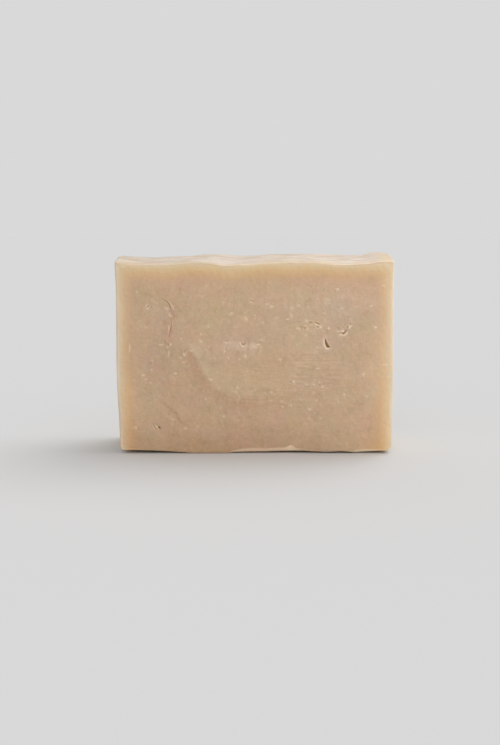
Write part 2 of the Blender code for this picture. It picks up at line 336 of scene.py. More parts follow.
@dataclass(frozen=True)
class SliceForm:
    """The slice's sections: closed outlines, one behind the other, that make its ends, top and foot.

    Each starts at the middle of the left foot's corner and runs counterclockwise, seen from the front. Its
    four sides meet in the middle of the corners.
    """

    sizes: SliceSizes
    top: PouredTop
    foot: CutFoot
    foot_steps: int = 182
    wall_steps: int = 127
    foot_corner_steps: int = 4
    shoulder_steps: int = 3
    edge_steps: int = 4
    chip_steps: int = 3
    undercut_steps: int = 5
    body_steps: int = 27
    foot_edge: float = 0.4
    bulge_from: float = 0.35
    bulge_full: float = 0.49
    wall_wave: float = 0.00005
    wall_waves: Waves = Waves(length=0.013, count=12, seed=11)

    @property
    def columns(self) -> int:
        """Steps along the foot's side of an outline, and along the top's."""
        return self.foot_steps + 2 * self.foot_corner_steps

    @property
    def rows(self) -> int:
        """Steps up the right side of an outline, and down the left one."""
        return self.wall_steps + self.foot_corner_steps + self.shoulder_steps

    def corner(self, side: float, level: Numbers, radius: float, start: float, steps: int) -> Numbers:
        """A quarter turn inside a corner, counterclockwise.

        X and Z are the cosine and the sine of its angle, round a middle one radius in from both sides.

        Args:
            side: The corner's X.
            level: Its Z at each depth.
            radius: The turn's radius.
            start: The angle that it starts from.
            steps: Steps in half of it.

        Returns:
            Depth by point by X and Z.
        """
        turn = start + np.linspace(0, math.pi / 2, 2 * steps + 1)
        middle = start + math.pi / 4
        x = side - radius * math.copysign(1, math.cos(middle)) + radius * np.cos(turn)
        z = level[:, None] - radius * math.copysign(1, math.sin(middle)) + radius * np.sin(turn)
        return self.side(x, z)

    def side(self, x: Numbers, z: Numbers) -> Numbers:
        """Pairs one row of X with a Z for each depth, as depth by point by X and Z."""
        return np.stack((np.broadcast_to(x, z.shape), z), 2)

    def wall(self, start: Numbers, end: Numbers, behind: Numbers) -> Numbers:
        """A wall of the mould, straight from one turn to the next, with faint waves that a half sine fades.

        Args:
            start: X and Z at the wall's first end, for each depth.
            end: The same at its other end.
            behind: The depths, as a column.

        Returns:
            The points between, as depth by point by X and Z.
        """
        share = np.linspace(0, 1, self.wall_steps + 1)[1:-1]
        points = start[:, None] + (end - start)[:, None] * share[:, None]
        wave = self.wall_waves.at(points[..., 1] + points[..., 0], behind)
        points[..., 0] += self.wall_wave * wave * np.sin(np.pi * share)
        return points

    def outline(self, depth: Numbers) -> Numbers:
        """The outline at each depth: foot, right wall, top and left wall, joined by four quarter turns.

        The ends' bulges are eased in on the way from the middle, and the lean is added last.

        Args:
            depth: Depths behind the front face.

        Returns:
            Depth by point by X and Z.
        """
        sizes, foot_steps, shoulder_steps = self.sizes, self.foot_corner_steps, self.shoulder_steps
        width, behind = sizes.width, depth[:, None]
        right, left, edge = width / 2, -width / 2, sizes.top_corner_radius
        first, last = sizes.left_foot_radius / width, 1 - sizes.right_foot_radius / width
        across = np.linspace(first, last, self.foot_steps + 1)
        foot = self.side(left + across * width, self.foot.height(across, behind))
        top_steps = self.columns - 2 * shoulder_steps
        across = np.linspace(1 - edge / width, edge / width, top_steps + 1)
        top = self.side(left + across * width, sizes.height + self.top.rise(across, behind))
        left_foot = self.corner(left, foot[:, 0, 1], sizes.left_foot_radius, math.pi, foot_steps)
        right_foot = self.corner(right, foot[:, -1, 1], sizes.right_foot_radius, -math.pi / 2, foot_steps)
        right_shoulder = self.corner(right, top[:, 0, 1], edge, 0, shoulder_steps)
        left_shoulder = self.corner(left, top[:, -1, 1], edge, math.pi / 2, shoulder_steps)
        right_wall = self.wall(right_foot[:, -1], right_shoulder[:, 0], behind)
        left_wall = self.wall(left_shoulder[:, -1], left_foot[:, 0], behind)
        lower = (left_foot[:, foot_steps:], foot[:, 1:-1], right_foot, right_wall)
        upper = (right_shoulder, top[:, 1:-1], left_shoulder, left_wall, left_foot[:, :foot_steps])
        points = np.concatenate(lower + upper, 1)
        share, up = points[..., 0] / width, points[..., 1]
        for sign, bulge in ((-1, sizes.left_bulge), (1, sizes.right_bulge)):
            out = sizes.bulge(bulge, up) * ease(share, sign * self.bulge_from, sign * self.bulge_full)
            points[..., 0] += sign * out
        points[..., 0] += sizes.leaning(up)
        return points

    def edge_share(self, around: int) -> Numbers:
        """The share of the edge's radius at each point of an outline: the foot's edge is sharper."""
        stops = (0, self.foot_corner_steps, self.columns - self.foot_corner_steps, self.columns)
        return np.interp(np.arange(around), stops, (1, self.foot_edge, self.foot_edge, 1))

    def set_in(self, points: Numbers, inset: Numbers) -> Numbers:
        """Moves each outline inwards, square to itself.

        Args:
            points: Depth by point by X and Z.
            inset: How far each outline is moved.

        Returns:
            The moved points.
        """
        along = np.roll(points, -1, 1) - np.roll(points, 1, 1)
        along /= np.linalg.norm(along, axis=2, keepdims=True)
        inwards = np.stack((-along[..., 1], along[..., 0]), 2)
        return points + inset[:, None, None] * self.edge_share(points.shape[1])[:, None] * inwards

    def stations(self) -> tuple[Numbers, Numbers]:
        """The depth and the inset of each section, a quarter circle at both faces.

        Returns:
            The depths and the insets, from front to back.
        """
        radius, thickness = self.sizes.edge_radius, self.sizes.thickness
        turn = np.linspace(0, math.pi / 2, self.edge_steps + 1)
        depth, inset = radius * (1 - np.cos(turn)), radius * (1 - np.sin(turn))
        chip = np.linspace(radius, self.foot.chip_depth, self.chip_steps + 1)[1:]
        undercut = np.linspace(self.foot.chip_depth, self.foot.undercut_depth, self.undercut_steps + 1)[1:]
        body = np.linspace(self.foot.undercut_depth, thickness - radius, self.body_steps + 1)[1:-1]
        plain = np.concatenate((chip, undercut, body))
        depths = np.concatenate((depth, plain, thickness - depth[::-1]))
        return depths, np.concatenate((inset, np.zeros(len(plain)), inset[::-1]))

    def sections(self) -> Numbers:
        """Every section's points, none of which lies under the ground.

        Returns:
            Section by point by X, Y and Z.
        """
        depths, insets = self.stations()
        points = self.set_in(self.outline(depths), insets)
        y = np.broadcast_to((depths - self.sizes.thickness / 2)[:, None], points.shape[:2])
        return np.stack((points[..., 0], y, np.maximum(points[..., 1], 0)), 2)


def near_path(path: Numbers, x: Numbers, z: Numbers) -> tuple[Numbers, Numbers, Numbers]:
    """Finds the nearest point of a path: each place is dropped square on every straight piece of it.

    Args:
        path: Rows of X and Z along the path.
        x: X of each place.
        z: Its Z.

    Returns:
        The distance, the side of the path (1 left, -1 right) and the share of the path walked there.
    """
    step = np.diff(path, axis=0)
    from_x = x[:, None] - path[:-1, 0]
    from_z = z[:, None] - path[:-1, 1]
    walked = np.clip((from_x * step[:, 0] + from_z * step[:, 1]) / (step**2).sum(1), 0, 1)
    gap = np.hypot(from_x - walked * step[:, 0], from_z - walked * step[:, 1])
    nearest = gap.argmin(1)
    row = np.arange(len(x))
    side = np.sign(step[:, 0] * from_z - step[:, 1] * from_x)[row, nearest]
    return gap[row, nearest], side, (nearest + walked[row, nearest]) / len(step)


def smoothed(corners: Numbers, steps: int = 6) -> Numbers:
    """A smooth path through corners: X and Z each follow the smooth curve over the corners' number.

    Args:
        corners: Rows of X and Z.
        steps: Steps between each two of them.

    Returns:
        Rows of X and Z.
    """
    count = np.arange(len(corners))
    stations = np.linspace(0, len(corners) - 1, steps * (len(corners) - 1) + 1)
    return np.stack([through(tuple(zip(count, corners[:, i])), stations) for i in (0, 1)], 1)


def uneven(x: Numbers, z: Numbers) -> Numbers:
    """How much larger than drawn a mark's edge is at each place, about 1, by a slow wave."""
    return 1 + 0.22 * Waves(length=0.0007, count=10, seed=5).at(x, z)


@dataclass
class FaceReading:
    """How deep each place of a cut face lies behind its plane, how pale it is, and how dark, as in a hole.
    The darkness is partly deeper soap and partly painted shade in cracks, pits, dents and the pocket.
    """

    x: Numbers
    z: Numbers
    sunk: Numbers = field(init=False)
    pale: Numbers = field(init=False)
    dark: Numbers = field(init=False)

    def __post_init__(self) -> None:
        """Starts with a flat, unmarked face."""
        self.sunk, self.pale, self.dark = np.zeros((3, len(self.x)))

    def near(self, path: Numbers, reach: float) -> Numbers:
        """Picks the places that lie in the box of a path, or near it.

        Args:
            path: Rows of X and Z.
            reach: How far beyond the box still counts.

        Returns:
            The picked places' numbers.
        """
        low, high = path.min(0) - reach, path.max(0) + reach
        across = (self.x > low[0]) & (self.x < high[0])
        return np.flatnonzero(across & (self.z > low[1]) & (self.z < high[1]))

    def mark(self, where: Numbers, sunk: Numbers, pale: Numbers, dark: Numbers) -> None:
        """Adds one mark to some of the places. The stronger tone of two marks stays.

        Args:
            where: The places' numbers.
            sunk: How much deeper they get.
            pale: How pale the mark is there.
            dark: How dark it is there.
        """
        self.sunk[where] += sunk
        self.pale[where] = np.maximum(self.pale[where], pale)
        self.dark[where] = np.maximum(self.dark[where], dark)


class Lip(Enum):
    """Which side of a crack its torn lip stands on, seen along the crack's path."""

    LEFT = 1
    RIGHT = -1
    BOTH = 0


@dataclass(frozen=True)
class PathMark:
    """A mark along a path, whose corners are shares of the face, with its full width."""

    corners: Table
    width: float

    def path(self, sizes: SliceSizes) -> Numbers:
        """The smooth path, in metres."""
        return smoothed(sizes.on_face(self.corners))


@dataclass(frozen=True)
class Crack(PathMark):
    """A crack with a torn, pale lip beside it. A share of both is left at its ends. The groove's darkness is
    partly deeper soap and partly painted shade, and the lip's paleness is partly torn soap and partly a
    painted highlight.

    The lip's place and spread are in half widths of the crack.
    """

    depth: float
    lip: Lip
    lip_height: float
    paleness: float
    darkness: float = 0.75
    at_ends: float = 0.2
    lip_place: float = 1.5
    lip_spread: float = 0.9

    def cut(self, reading: FaceReading, sizes: SliceSizes) -> None:
        """Cuts a V whose walls ease out at the top, and raises a bell curve just outside it.

        A half sine along the path scales both.

        Args:
            reading: The places, which are changed.
            sizes: The slice's sizes.
        """
        path = self.path(sizes)
        where = reading.near(path, 3 * self.width)
        gap, side, along = near_path(path, reading.x[where], reading.z[where])
        full = at_least(self.at_ends, np.sin(np.pi * along))
        half = self.width / 2 * full
        groove = np.clip(1 - gap / half, 0, 1)
        lip = bell((gap - self.lip_place * half) / (self.lip_spread * half)) * full
        if self.lip is not Lip.BOTH:
            lip = lip * ease(side * self.lip.value * gap / half, -0.2, 0.6)
        sunk = self.depth * full * groove**0.8 - self.lip_height * lip
        reading.mark(where, sunk, self.paleness * lip, self.darkness * ease(groove, 0.0, 0.8) * full)


@dataclass(frozen=True)
class Streak(PathMark):
    """A soft streak: a raised pale smear, or a dark dent, whose height and tone are less than 0. A dent's
    darkness is partly a deeper tone and partly painted shade.
    """

    height: float
    tone: float

    def cut(self, reading: FaceReading, sizes: SliceSizes) -> None:
        """Lays the streak on the face: an uneven bell curve that eases out over a quarter of the path.

        Args:
            reading: The places, which are changed.
            sizes: The slice's sizes.
        """
        path = self.path(sizes)
        where = reading.near(path, 1.5 * self.width)
        x, z = reading.x[where], reading.z[where]
        gap, _, along = near_path(path, x, z)
        full = ease(along, -0.12, 0.25) * ease(along, 1.12, 0.75)
        smear = bell(1.7 * gap * uneven(x, z) / self.width) * full
        reading.mark(where, -self.height * smear, max(self.tone, 0) * smear, max(-self.tone, 0) * smear)


@dataclass(frozen=True)
class Pit:
    """A small dark pit, whose tone is less than 0 and whose darkness is painted shade in the hole, or a
    raised fleck, whose depth is.
    """

    corners: Table
    radius: float
    depth: float
    tone: float
    wide: float = 1.0

    def cut(self, reading: FaceReading, sizes: SliceSizes) -> None:
        """Sinks or raises it: a squared bowl with an uneven rim.

        Args:
            reading: The places, which are changed.
            sizes: The slice's sizes.
        """
        middle = sizes.on_face(self.corners)
        where = reading.near(middle, 1.8 * self.radius)
        x, z = reading.x[where], reading.z[where]
        gap = np.hypot((x - middle[0, 0]) / self.wide, z - middle[0, 1])
        gap = gap * np.maximum(uneven(x, z), 0.5) / self.radius
        bowl = np.clip(1 - gap**2, 0, 1) ** 2
        tone = bowl**0.5 * self.tone
        reading.mark(where, self.depth * bowl, np.maximum(tone, 0), np.maximum(-tone, 0))


@dataclass(frozen=True)
class AirPocket:
    """The open air pocket: a fin-shaped mouth with steep walls and a torn lip, highest at its lower left. Its
    dark inside is partly deeper soap and partly painted shade; the lip's paleness, strongest at the lower
    left, is partly a painted highlight.
    """

    place: tuple[float, float] = (0.7515, 0.556)
    width: float = 0.0021
    height: float = 0.0033
    depth: float = 0.0006
    wall: float = 0.00030
    lip_height: float = 0.00010
    lip_width: float = 0.00055
    lip_least: float = 0.25
    paleness: float = 0.95
    darkness: float = 0.92
    mouth: Table = (
        (0.07, 1.04), (0, 0.74), (0.03, 0.44), (0.16, 0.2), (0.34, 0.04), (0.86, 0.06), (0.84, 0.16),
        (0.64, 0.3), (0.46, 0.52), (0.26, 0.76),
    )

    def rim(self, sizes: SliceSizes) -> Numbers:
        """The mouth's closed outline, in metres."""
        corners = sizes.on_face((self.place,)) + np.array(self.mouth) * (self.width, self.height)
        return np.concatenate((corners, corners[:1]))

    def cut(self, reading: FaceReading, sizes: SliceSizes) -> None:
        """Sinks the pocket inside its mouth, where its depth eases down over the wall's width.

        A level line from a place inside crosses the outline an odd number of times.

        Args:
            reading: The places, which are changed.
            sizes: The slice's sizes.
        """
        rim = self.rim(sizes)
        middle = rim[:-1].mean(0)
        where = reading.near(rim, 3 * self.lip_width)
        x, z = reading.x[where], reading.z[where]
        gap, _, _ = near_path(rim, x, z)
        start, end = rim[:-1], rim[1:]
        crosses = (start[:, 1] > z[:, None]) != (end[:, 1] > z[:, None])
        rise = np.where(end[:, 1] == start[:, 1], 1, end[:, 1] - start[:, 1])
        at = start[:, 0] + (z[:, None] - start[:, 1]) / rise * (end[:, 0] - start[:, 0])
        inside = (crosses & (x[:, None] < at)).sum(1) % 2 == 1
        deep = np.where(inside, ease(gap, 0, self.wall), 0)
        lower_left = ease((middle[0] - x) + (middle[1] - z) * 0.5, -0.0003, 0.0007)
        lip = np.where(inside, 0, bell(gap / self.lip_width)) * at_least(self.lip_least, lower_left)
        sunk = self.depth * deep - self.lip_height * lip
        reading.mark(where, sunk, self.paleness * lip, self.darkness * deep)


@dataclass(frozen=True)
class CutFace:
    """The wire-cut front face and every mark on it.

    Attributes:
        drag: How deep the wire's slow waves are.
        grain: How deep the small unevenness of the cut is.
        chatter_zones: Where the wire's chatter lines show: the middle, half sizes and strength.
        streak_rows: Each path in thousandths, its width and height in mm, and its tone.
        pinholes: Each place in thousandths, and its darkness in hundredths.
        flecks: Each place in thousandths, its radius in hundredths of a mm, and its tone in hundredths.
        fleck_size: What the flecks' radii are multiplied by, and fleck_tone the same for their tones.
        sharp_width: How wide a streak may be and still have sharp edges.
    """

    sizes: SliceSizes
    drag: float = 0.00005
    drag_waves: Waves = Waves(length=0.016, count=14, seed=7, stretch=1.5)
    grain: float = 0.000016
    grain_waves: Waves = Waves(length=0.0021, count=22, seed=21)
    hole_radius: float = 0.00042
    hole_depth: float = 0.0006
    fleck_height: float = 0.00006
    fleck_wide: float = 1.25
    fleck_size: float = 1.1
    fleck_tone: float = 0.8
    sharp_width: float = 0.001
    back_chatter: float = 0.45
    least_chatter: float = 0.12
    chatter_zones: Table = (
        (0.72, 0.43, 0.12, 0.17, 1), (0.56, 0.3, 0.16, 0.07, 0.7), (0.68, 0.68, 0.06, 0.04, 0.8),
        (0.24, 0.73, 0.06, 0.04, 0.5), (0.4, 0.6, 0.06, 0.05, 0.5), (0.54, 0.42, 0.1, 0.08, 0.5),
    )

    streak_rows: tuple[tuple, ...] = (
        ((199, 782, 203, 772, 205, 760), 0.35, 0.05, 0.6), ((188, 738, 193, 728, 198, 720), 0.5, 0.05, 0.7),
        ((201, 705, 201, 689, 201, 673), 0.3, 0.03, 0.35), ((187, 674, 186, 663, 187, 650), 0.4, 0.05, 0.5),
        ((149, 575, 158, 576, 167, 576), 0.35, 0.05, 0.6),
        ((176, 564, 181, 561, 185, 564), 0.45, 0.05, 0.65),
        ((185, 548, 185, 533, 184, 517), 0.4, 0.04, 0.55),
        ((811, 644, 817, 646, 823, 644), 0.45, 0.09, 0.95),
        ((795, 643, 801, 645, 806, 643), 0.45, 0.05, 0.55),
        ((803, 621, 808, 626, 813, 627), 0.5, 0.06, 0.75),
        ((824, 628, 829, 634, 834, 640), 0.45, 0.05, 0.5),
        ((841, 659, 842, 666, 845, 671, 849, 677), 0.5, 0.08, 0.8),
        ((732, 672, 736, 668, 741, 665), 0.45, 0.06, 0.9),
        ((695, 678, 703, 677, 710, 678), 0.35, 0.03, 0.4), ((679, 701, 686, 703, 694, 700), 0.5, 0.04, 0.5),
        ((721, 694, 724, 694, 728, 693), 0.35, 0.03, 0.35),
        ((762, 659, 766, 661, 769, 662), 0.6, 0.07, 0.75),
        ((439, 582, 443, 585, 446, 579, 448, 569), 0.5, 0.05, 0.75),
        ((447, 566, 454, 564, 461, 568), 0.6, 0.05, 0.8),
        ((502, 577, 510, 577, 517, 576), 0.45, 0.05, 0.65),
        ((516, 569, 520, 551, 516, 533), 0.55, 0.03, 0.3), ((441, 572, 456, 563, 474, 570), 1.5, 0.03, 0.4),
        ((381, 586, 390, 587, 401, 583, 412, 582), 0.55, 0.04, 0.5),
        ((389, 575, 388, 559, 389, 540), 0.5, 0.03, 0.35),
        ((961, 470, 978, 470, 994, 469), 0.28, 0.04, 0.5), ((44, 582, 43, 559, 43, 535), 0.32, 0.04, 0.5),
        ((630, 777, 629, 746, 631, 715), 0.8, 0.02, 0.3),
        ((379, 575, 416, 577, 452, 569, 481, 577), 2.4, 0, 0.3),
        ((679, 686, 692, 685, 706, 683), 0.55, -0.03, -0.22),
        ((201, 732, 206, 720, 203, 707), 0.8, -0.04, -0.22),
        ((191, 639, 189, 630, 185, 619), 0.9, -0.03, -0.15),
        ((758, 654, 761, 650, 764, 645), 0.6, -0.04, -0.28),
        ((158, 811, 168, 807, 178, 796), 0.6, -0.03, -0.16), ((478, 572, 495, 568, 511, 564), 1.7, 0, 0.5),
        ((719, 699, 724, 700, 729, 699), 0.35, -0.03, -0.2),
    )
    pinholes: Table = (
        (145, 139, 95), (799, 661, 19), (824, 678, 20), (844, 682, 29), (100, 734, 23), (546, 359, 11),
        (261, 338, 9), (170, 588, 19), (516, 588, 18), (679, 660, 19), (734, 362, 21), (216, 182, 24),
        (185, 619, 24), (472, 551, 19), (206, 214, 16), (540, 293, 20), (425, 598, 21), (628, 378, 29),
        (181, 577, 25), (661, 671, 14), (730, 314, 14), (430, 299, 21), (495, 800, 19), (598, 261, 14),
        (118, 478, 13), (249, 478, 19), (423, 351, 19), (166, 261, 21), (440, 134, 22), (835, 717, 21),
        (122, 769, 21), (309, 288, 12), (278, 499, 11), (174, 546, 20), (887, 394, 18),
    )
    flecks: Table = (
        (798, 862, 50, 73), (936, 666, 45, 85), (617, 707, 36, 66), (91, 415, 42, 92), (208, 425, 42, 89),
        (316, 288, 36, 62), (58, 139, 50, 78), (241, 134, 50, 51), (382, 198, 50, 48), (242, 525, 62, 81),
        (588, 499, 48, 54), (639, 383, 48, 93), (734, 378, 38, 47), (894, 420, 52, 60), (825, 314, 42, 63),
        (697, 235, 60, 57), (595, 277, 50, 47), (738, 187, 50, 43), (560, 774, 62, 60), (661, 780, 62, 27),
        (465, 712, 80, 53), (766, 790, 60, 24), (484, 795, 42, 57), (523, 603, 50, 51), (402, 509, 45, 59),
        (464, 514, 52, 65), (461, 520, 45, 49), (442, 499, 42, 47), (331, 671, 50, 46), (180, 764, 60, 45),
        (427, 325, 42, 38), (963, 880, 42, 40), (987, 407, 36, 35), (98, 394, 45, 48), (121, 441, 36, 26),
        (862, 277, 42, 15), (646, 341, 50, 17), (712, 325, 42, 42), (804, 272, 36, 30), (496, 336, 42, 27),
        (242, 483, 55, 34), (228, 509, 45, 45), (762, 805, 60, 31), (812, 821, 60, 26), (726, 810, 50, 20),
        (752, 299, 45, 16), (654, 660, 48, 61), (469, 707, 48, 62), (301, 593, 48, 58), (135, 144, 48, 66),
        (336, 394, 48, 54), (415, 738, 48, 49), (434, 351, 48, 56), (388, 541, 48, 58), (712, 367, 48, 57),
        (745, 357, 48, 48), (111, 764, 48, 71), (726, 452, 48, 62), (558, 325, 48, 43), (628, 256, 48, 50),
        (723, 283, 42, 62), (194, 182, 42, 51), (694, 187, 42, 50), (813, 764, 42, 48), (121, 446, 42, 51),
        (302, 629, 42, 66), (268, 546, 42, 51), (917, 774, 42, 42), (286, 144, 42, 53), (686, 367, 42, 41),
        (433, 176, 42, 47), (683, 624, 42, 41), (558, 283, 42, 37), (238, 483, 42, 42), (726, 562, 42, 45),
        (365, 346, 42, 32), (690, 660, 42, 39), (530, 692, 42, 36), (125, 494, 42, 37), (542, 785, 42, 61),
        (683, 676, 42, 35), (386, 795, 42, 38), (232, 608, 42, 46), (906, 304, 42, 33), (598, 251, 42, 48),
        (192, 577, 48, 73), (686, 697, 48, 63),
    )

    def cracks(self) -> list[Crack]:
        """The cracks: path in thousandths, width and depth, lip, the lip's height, and both tones.

        Returns:
            One mark for each row.
        """
        torn, fine, hair = (0.0008, 0.00038), (0.00056, 0.00026), (0.00048, 0.00021)
        right, left, both = Lip.RIGHT, Lip.LEFT, Lip.BOTH
        rows = (
            ((809, 638, 814, 634, 819, 633, 824, 638, 829, 646, 832, 655), torn, right, 0.0001, 0.8, 1),
            ((831, 658, 834, 665, 837, 670), fine, right, 0.00008, 0.6),
            ((692, 691, 700, 693, 708, 693), fine, left, 0.00004, 0.4, 0.8),
            ((709, 696, 717, 691, 724, 686, 731, 681, 735, 677), fine, right, 0.00006, 0.6, 0.7),
            ((720, 673, 726, 668, 732, 667), hair, both, 0.00004, 0.3),
            ((677, 658, 680, 661, 683, 664), hair, right, 0.00004, 0.3),
            ((161, 811, 170, 809, 179, 801, 187, 789, 192, 775, 195, 759, 197, 746),
             fine, left, 0.00004, 0.3, 0.45),
            ((195, 694, 195, 673, 192, 655, 189, 637, 186, 621), hair, right, 0.00005, 0.35, 0.7),
            ((181, 583, 183, 577, 182, 568), fine, both, 0.00005, 0.4),
            ((446, 587, 451, 580, 456, 575, 461, 579, 466, 586), torn, right, 0.00006, 0.5, 0.5),
            ((387, 594, 393, 595, 401, 594), hair, right, 0.00006, 0.6, 0.3),
            ((502, 583, 510, 583, 518, 584), hair, right, 0.00006, 0.8, 0.2),
            ((105, 759, 110, 774, 119, 783), hair, left, 0.00006, 0.6, 0.4),
            ((479, 803, 486, 807, 493, 798), hair, left, 0.00005, 0.5, 0.4),
            ((121, 156, 128, 140, 134, 124), hair, both, 0.00003, 0.3, 0.4),
        )
        return [Crack(shares(*run), *size, *look) for run, size, *look in rows]

    def streaks(self) -> list[Streak]:
        """The torn smears and the shallow dents."""
        return [Streak(shares(*run), width / 1000, height / 1000, tone)
                for run, width, height, tone in self.streak_rows]

    def pits(self) -> list[Pit]:
        """The pinholes and the flecks.

        Returns:
            One mark for each row of both tables.
        """
        pits = []
        for x, z, dark in self.pinholes:
            pits.append(Pit(shares(x, z), self.hole_radius, self.hole_depth * (dark / 100), -dark / 100))
        for x, z, radius, tone in self.flecks:
            size, tone = self.fleck_size * (radius / 100) / 1000, tone / 100
            look = (-self.fleck_height * tone, self.fleck_tone * tone, self.fleck_wide)
            pits.append(Pit(shares(x, z), size, *look))
        return pits

    def marked(self, x: Numbers, z: Numbers, reach: float) -> Numbers:
        """Whether a mark lies near each place. The broadest streaks have no sharp edge and don't count.

        Args:
            x: X of each place.
            z: Its Z.
            reach: How far beyond a mark's own size counts as near.

        Returns:
            True or False for each place.
        """
        near = near_path(AirPocket().rim(self.sizes), x, z)[0] < 2 * reach
        for mark in (*self.cracks(), *self.streaks()):
            if mark.width < self.sharp_width:
                near |= near_path(mark.path(self.sizes), x, z)[0] < 0.7 * mark.width + reach
        for pit in self.pits():
            middle = self.sizes.on_face(pit.corners)[0]
            near |= np.hypot(x - middle[0], z - middle[1]) < pit.radius + 0.4 * reach
        return near

    def chatter_at(self, x: Numbers, z: Numbers) -> Numbers:
        """How strongly the wire's level chatter lines show: the strongest zone counts, and each eases out.

        Args:
            x: X of each place.
            z: Its Z.

        Returns:
            A share between 0 and 1 for each place.
        """
        strength = np.full(len(x), self.least_chatter)
        for *zone, most in self.chatter_zones:
            strength = np.maximum(strength, most * ease(self.sizes.from_zone(x, z, zone), 1.2, 0.5))
        return strength

    def read(self, x: Numbers, z: Numbers, marks: bool) -> FaceReading:
        """Reads a cut face: its slow waves, its small unevenness and, if asked for, its marks.

        Args:
            x: X of each place.
            z: Its Z.
            marks: Whether the marks are read.

        Returns:
            The places with their depth and tone.
        """
        reading = FaceReading(x, z)
        reading.sunk += self.drag * self.drag_waves.at(x, z) + self.grain * self.grain_waves.at(x, z)
        for mark in (*self.streaks(), *self.pits(), *self.cracks(), AirPocket()) if marks else ():
            mark.cut(reading, self.sizes)
        return reading


@dataclass(frozen=True)
class Swirl:
    """The pour's swirl: a paler bowl, a darker band round it, a streak and a second, fainter line.

    Attributes:
        bowl_light: How light the bowl is, and edge_light how much more so by its edge.
        clay_dark: How dark the clay below it starts, and clay_fade how much of that is lost along it.
        streak_light: How light the streak is, and streak_half its half width.
        second_dark: How dark the second line is, and second_half its half width.
        second_light: How light the soap beside the second line is.
    """

    sizes: SliceSizes
    bowl_light: float = 0.36
    edge_light: float = 0.45
    clay_dark: float = 1.05
    clay_fade: float = 0.45
    streak_light: float = 0.45
    streak_half: float = 0.0007
    second_dark: float = 1.1
    second_half: float = 0.0006
    second_light: float = 0.4
    bowl: Table = shares(
        248, 590, 266, 560, 284, 520, 300, 474, 316, 428, 334, 381, 360, 344, 394, 322, 443, 307, 502, 301,
        560, 307, 619, 322, 677, 344, 743, 370,
    )
    streak: Table = shares(
        238, 590, 256, 567, 273, 545, 288, 513, 301, 474, 317, 428, 338, 381, 370, 344, 414, 317,
    )
    second: Table = shares(
        150, 290, 168, 262, 187, 236, 205, 212, 218, 180, 238, 156, 262, 140, 300, 122,
    )

    def near(self, line: Table, x: Numbers, z: Numbers) -> tuple[Numbers, Numbers, Numbers]:
        """The distance from a line's smooth path, the side of it and the share of it walked."""
        return near_path(smoothed(self.sizes.on_face(line)), x, z)

    def tone(self, x: Numbers, z: Numbers) -> Numbers:
        """How light the swirl is: over 0 in the bowl and on its streak, under 0 in the clay below it.

        Bowl and clay are strongest by the bowl's edge and fade slowly. The other two lines are bell curves.

        Args:
            x: X of each place.
            z: Its Z.

        Returns:
            The tone at each place, from -1 to 1.
        """
        gap, side, along = self.near(self.bowl, x, z)
        ends = ease(along, 0.0, 0.08) * ease(along, 1.0, 0.7)
        edge = self.edge_light * ease(gap, 0.004, 0.0008) * ease(along, 0.6, 0.2)
        inside = ease(side * gap, -0.0004, 0.0008) * (ease(gap, 0.013, 0.002) + edge)
        clay = ease(-side * gap, 0.0, 0.0010) * ease(gap, 0.0068, 0.0012)
        clay *= self.clay_dark - self.clay_fade * along
        tone = (self.bowl_light * inside - clay) * ends
        gap, _, along = self.near(self.streak, x, z)
        ends = ease(along, 0.0, 0.06) * ease(along, 1.0, 0.5)
        tone += self.streak_light * bell(gap / self.streak_half) * ends
        gap, side, along = self.near(self.second, x, z)
        ends = ease(along, 0.0, 0.15) * ease(along, 1.0, 0.6)
        tone -= self.second_dark * bell(gap / self.second_half) * ends
        beside = ease(-side * gap, 0.0004, 0.0012) * ease(gap, 0.0045, 0.0015)
        tone += self.second_light * beside * np.sin(np.pi * along)
        return np.clip(tone, -1, 1)


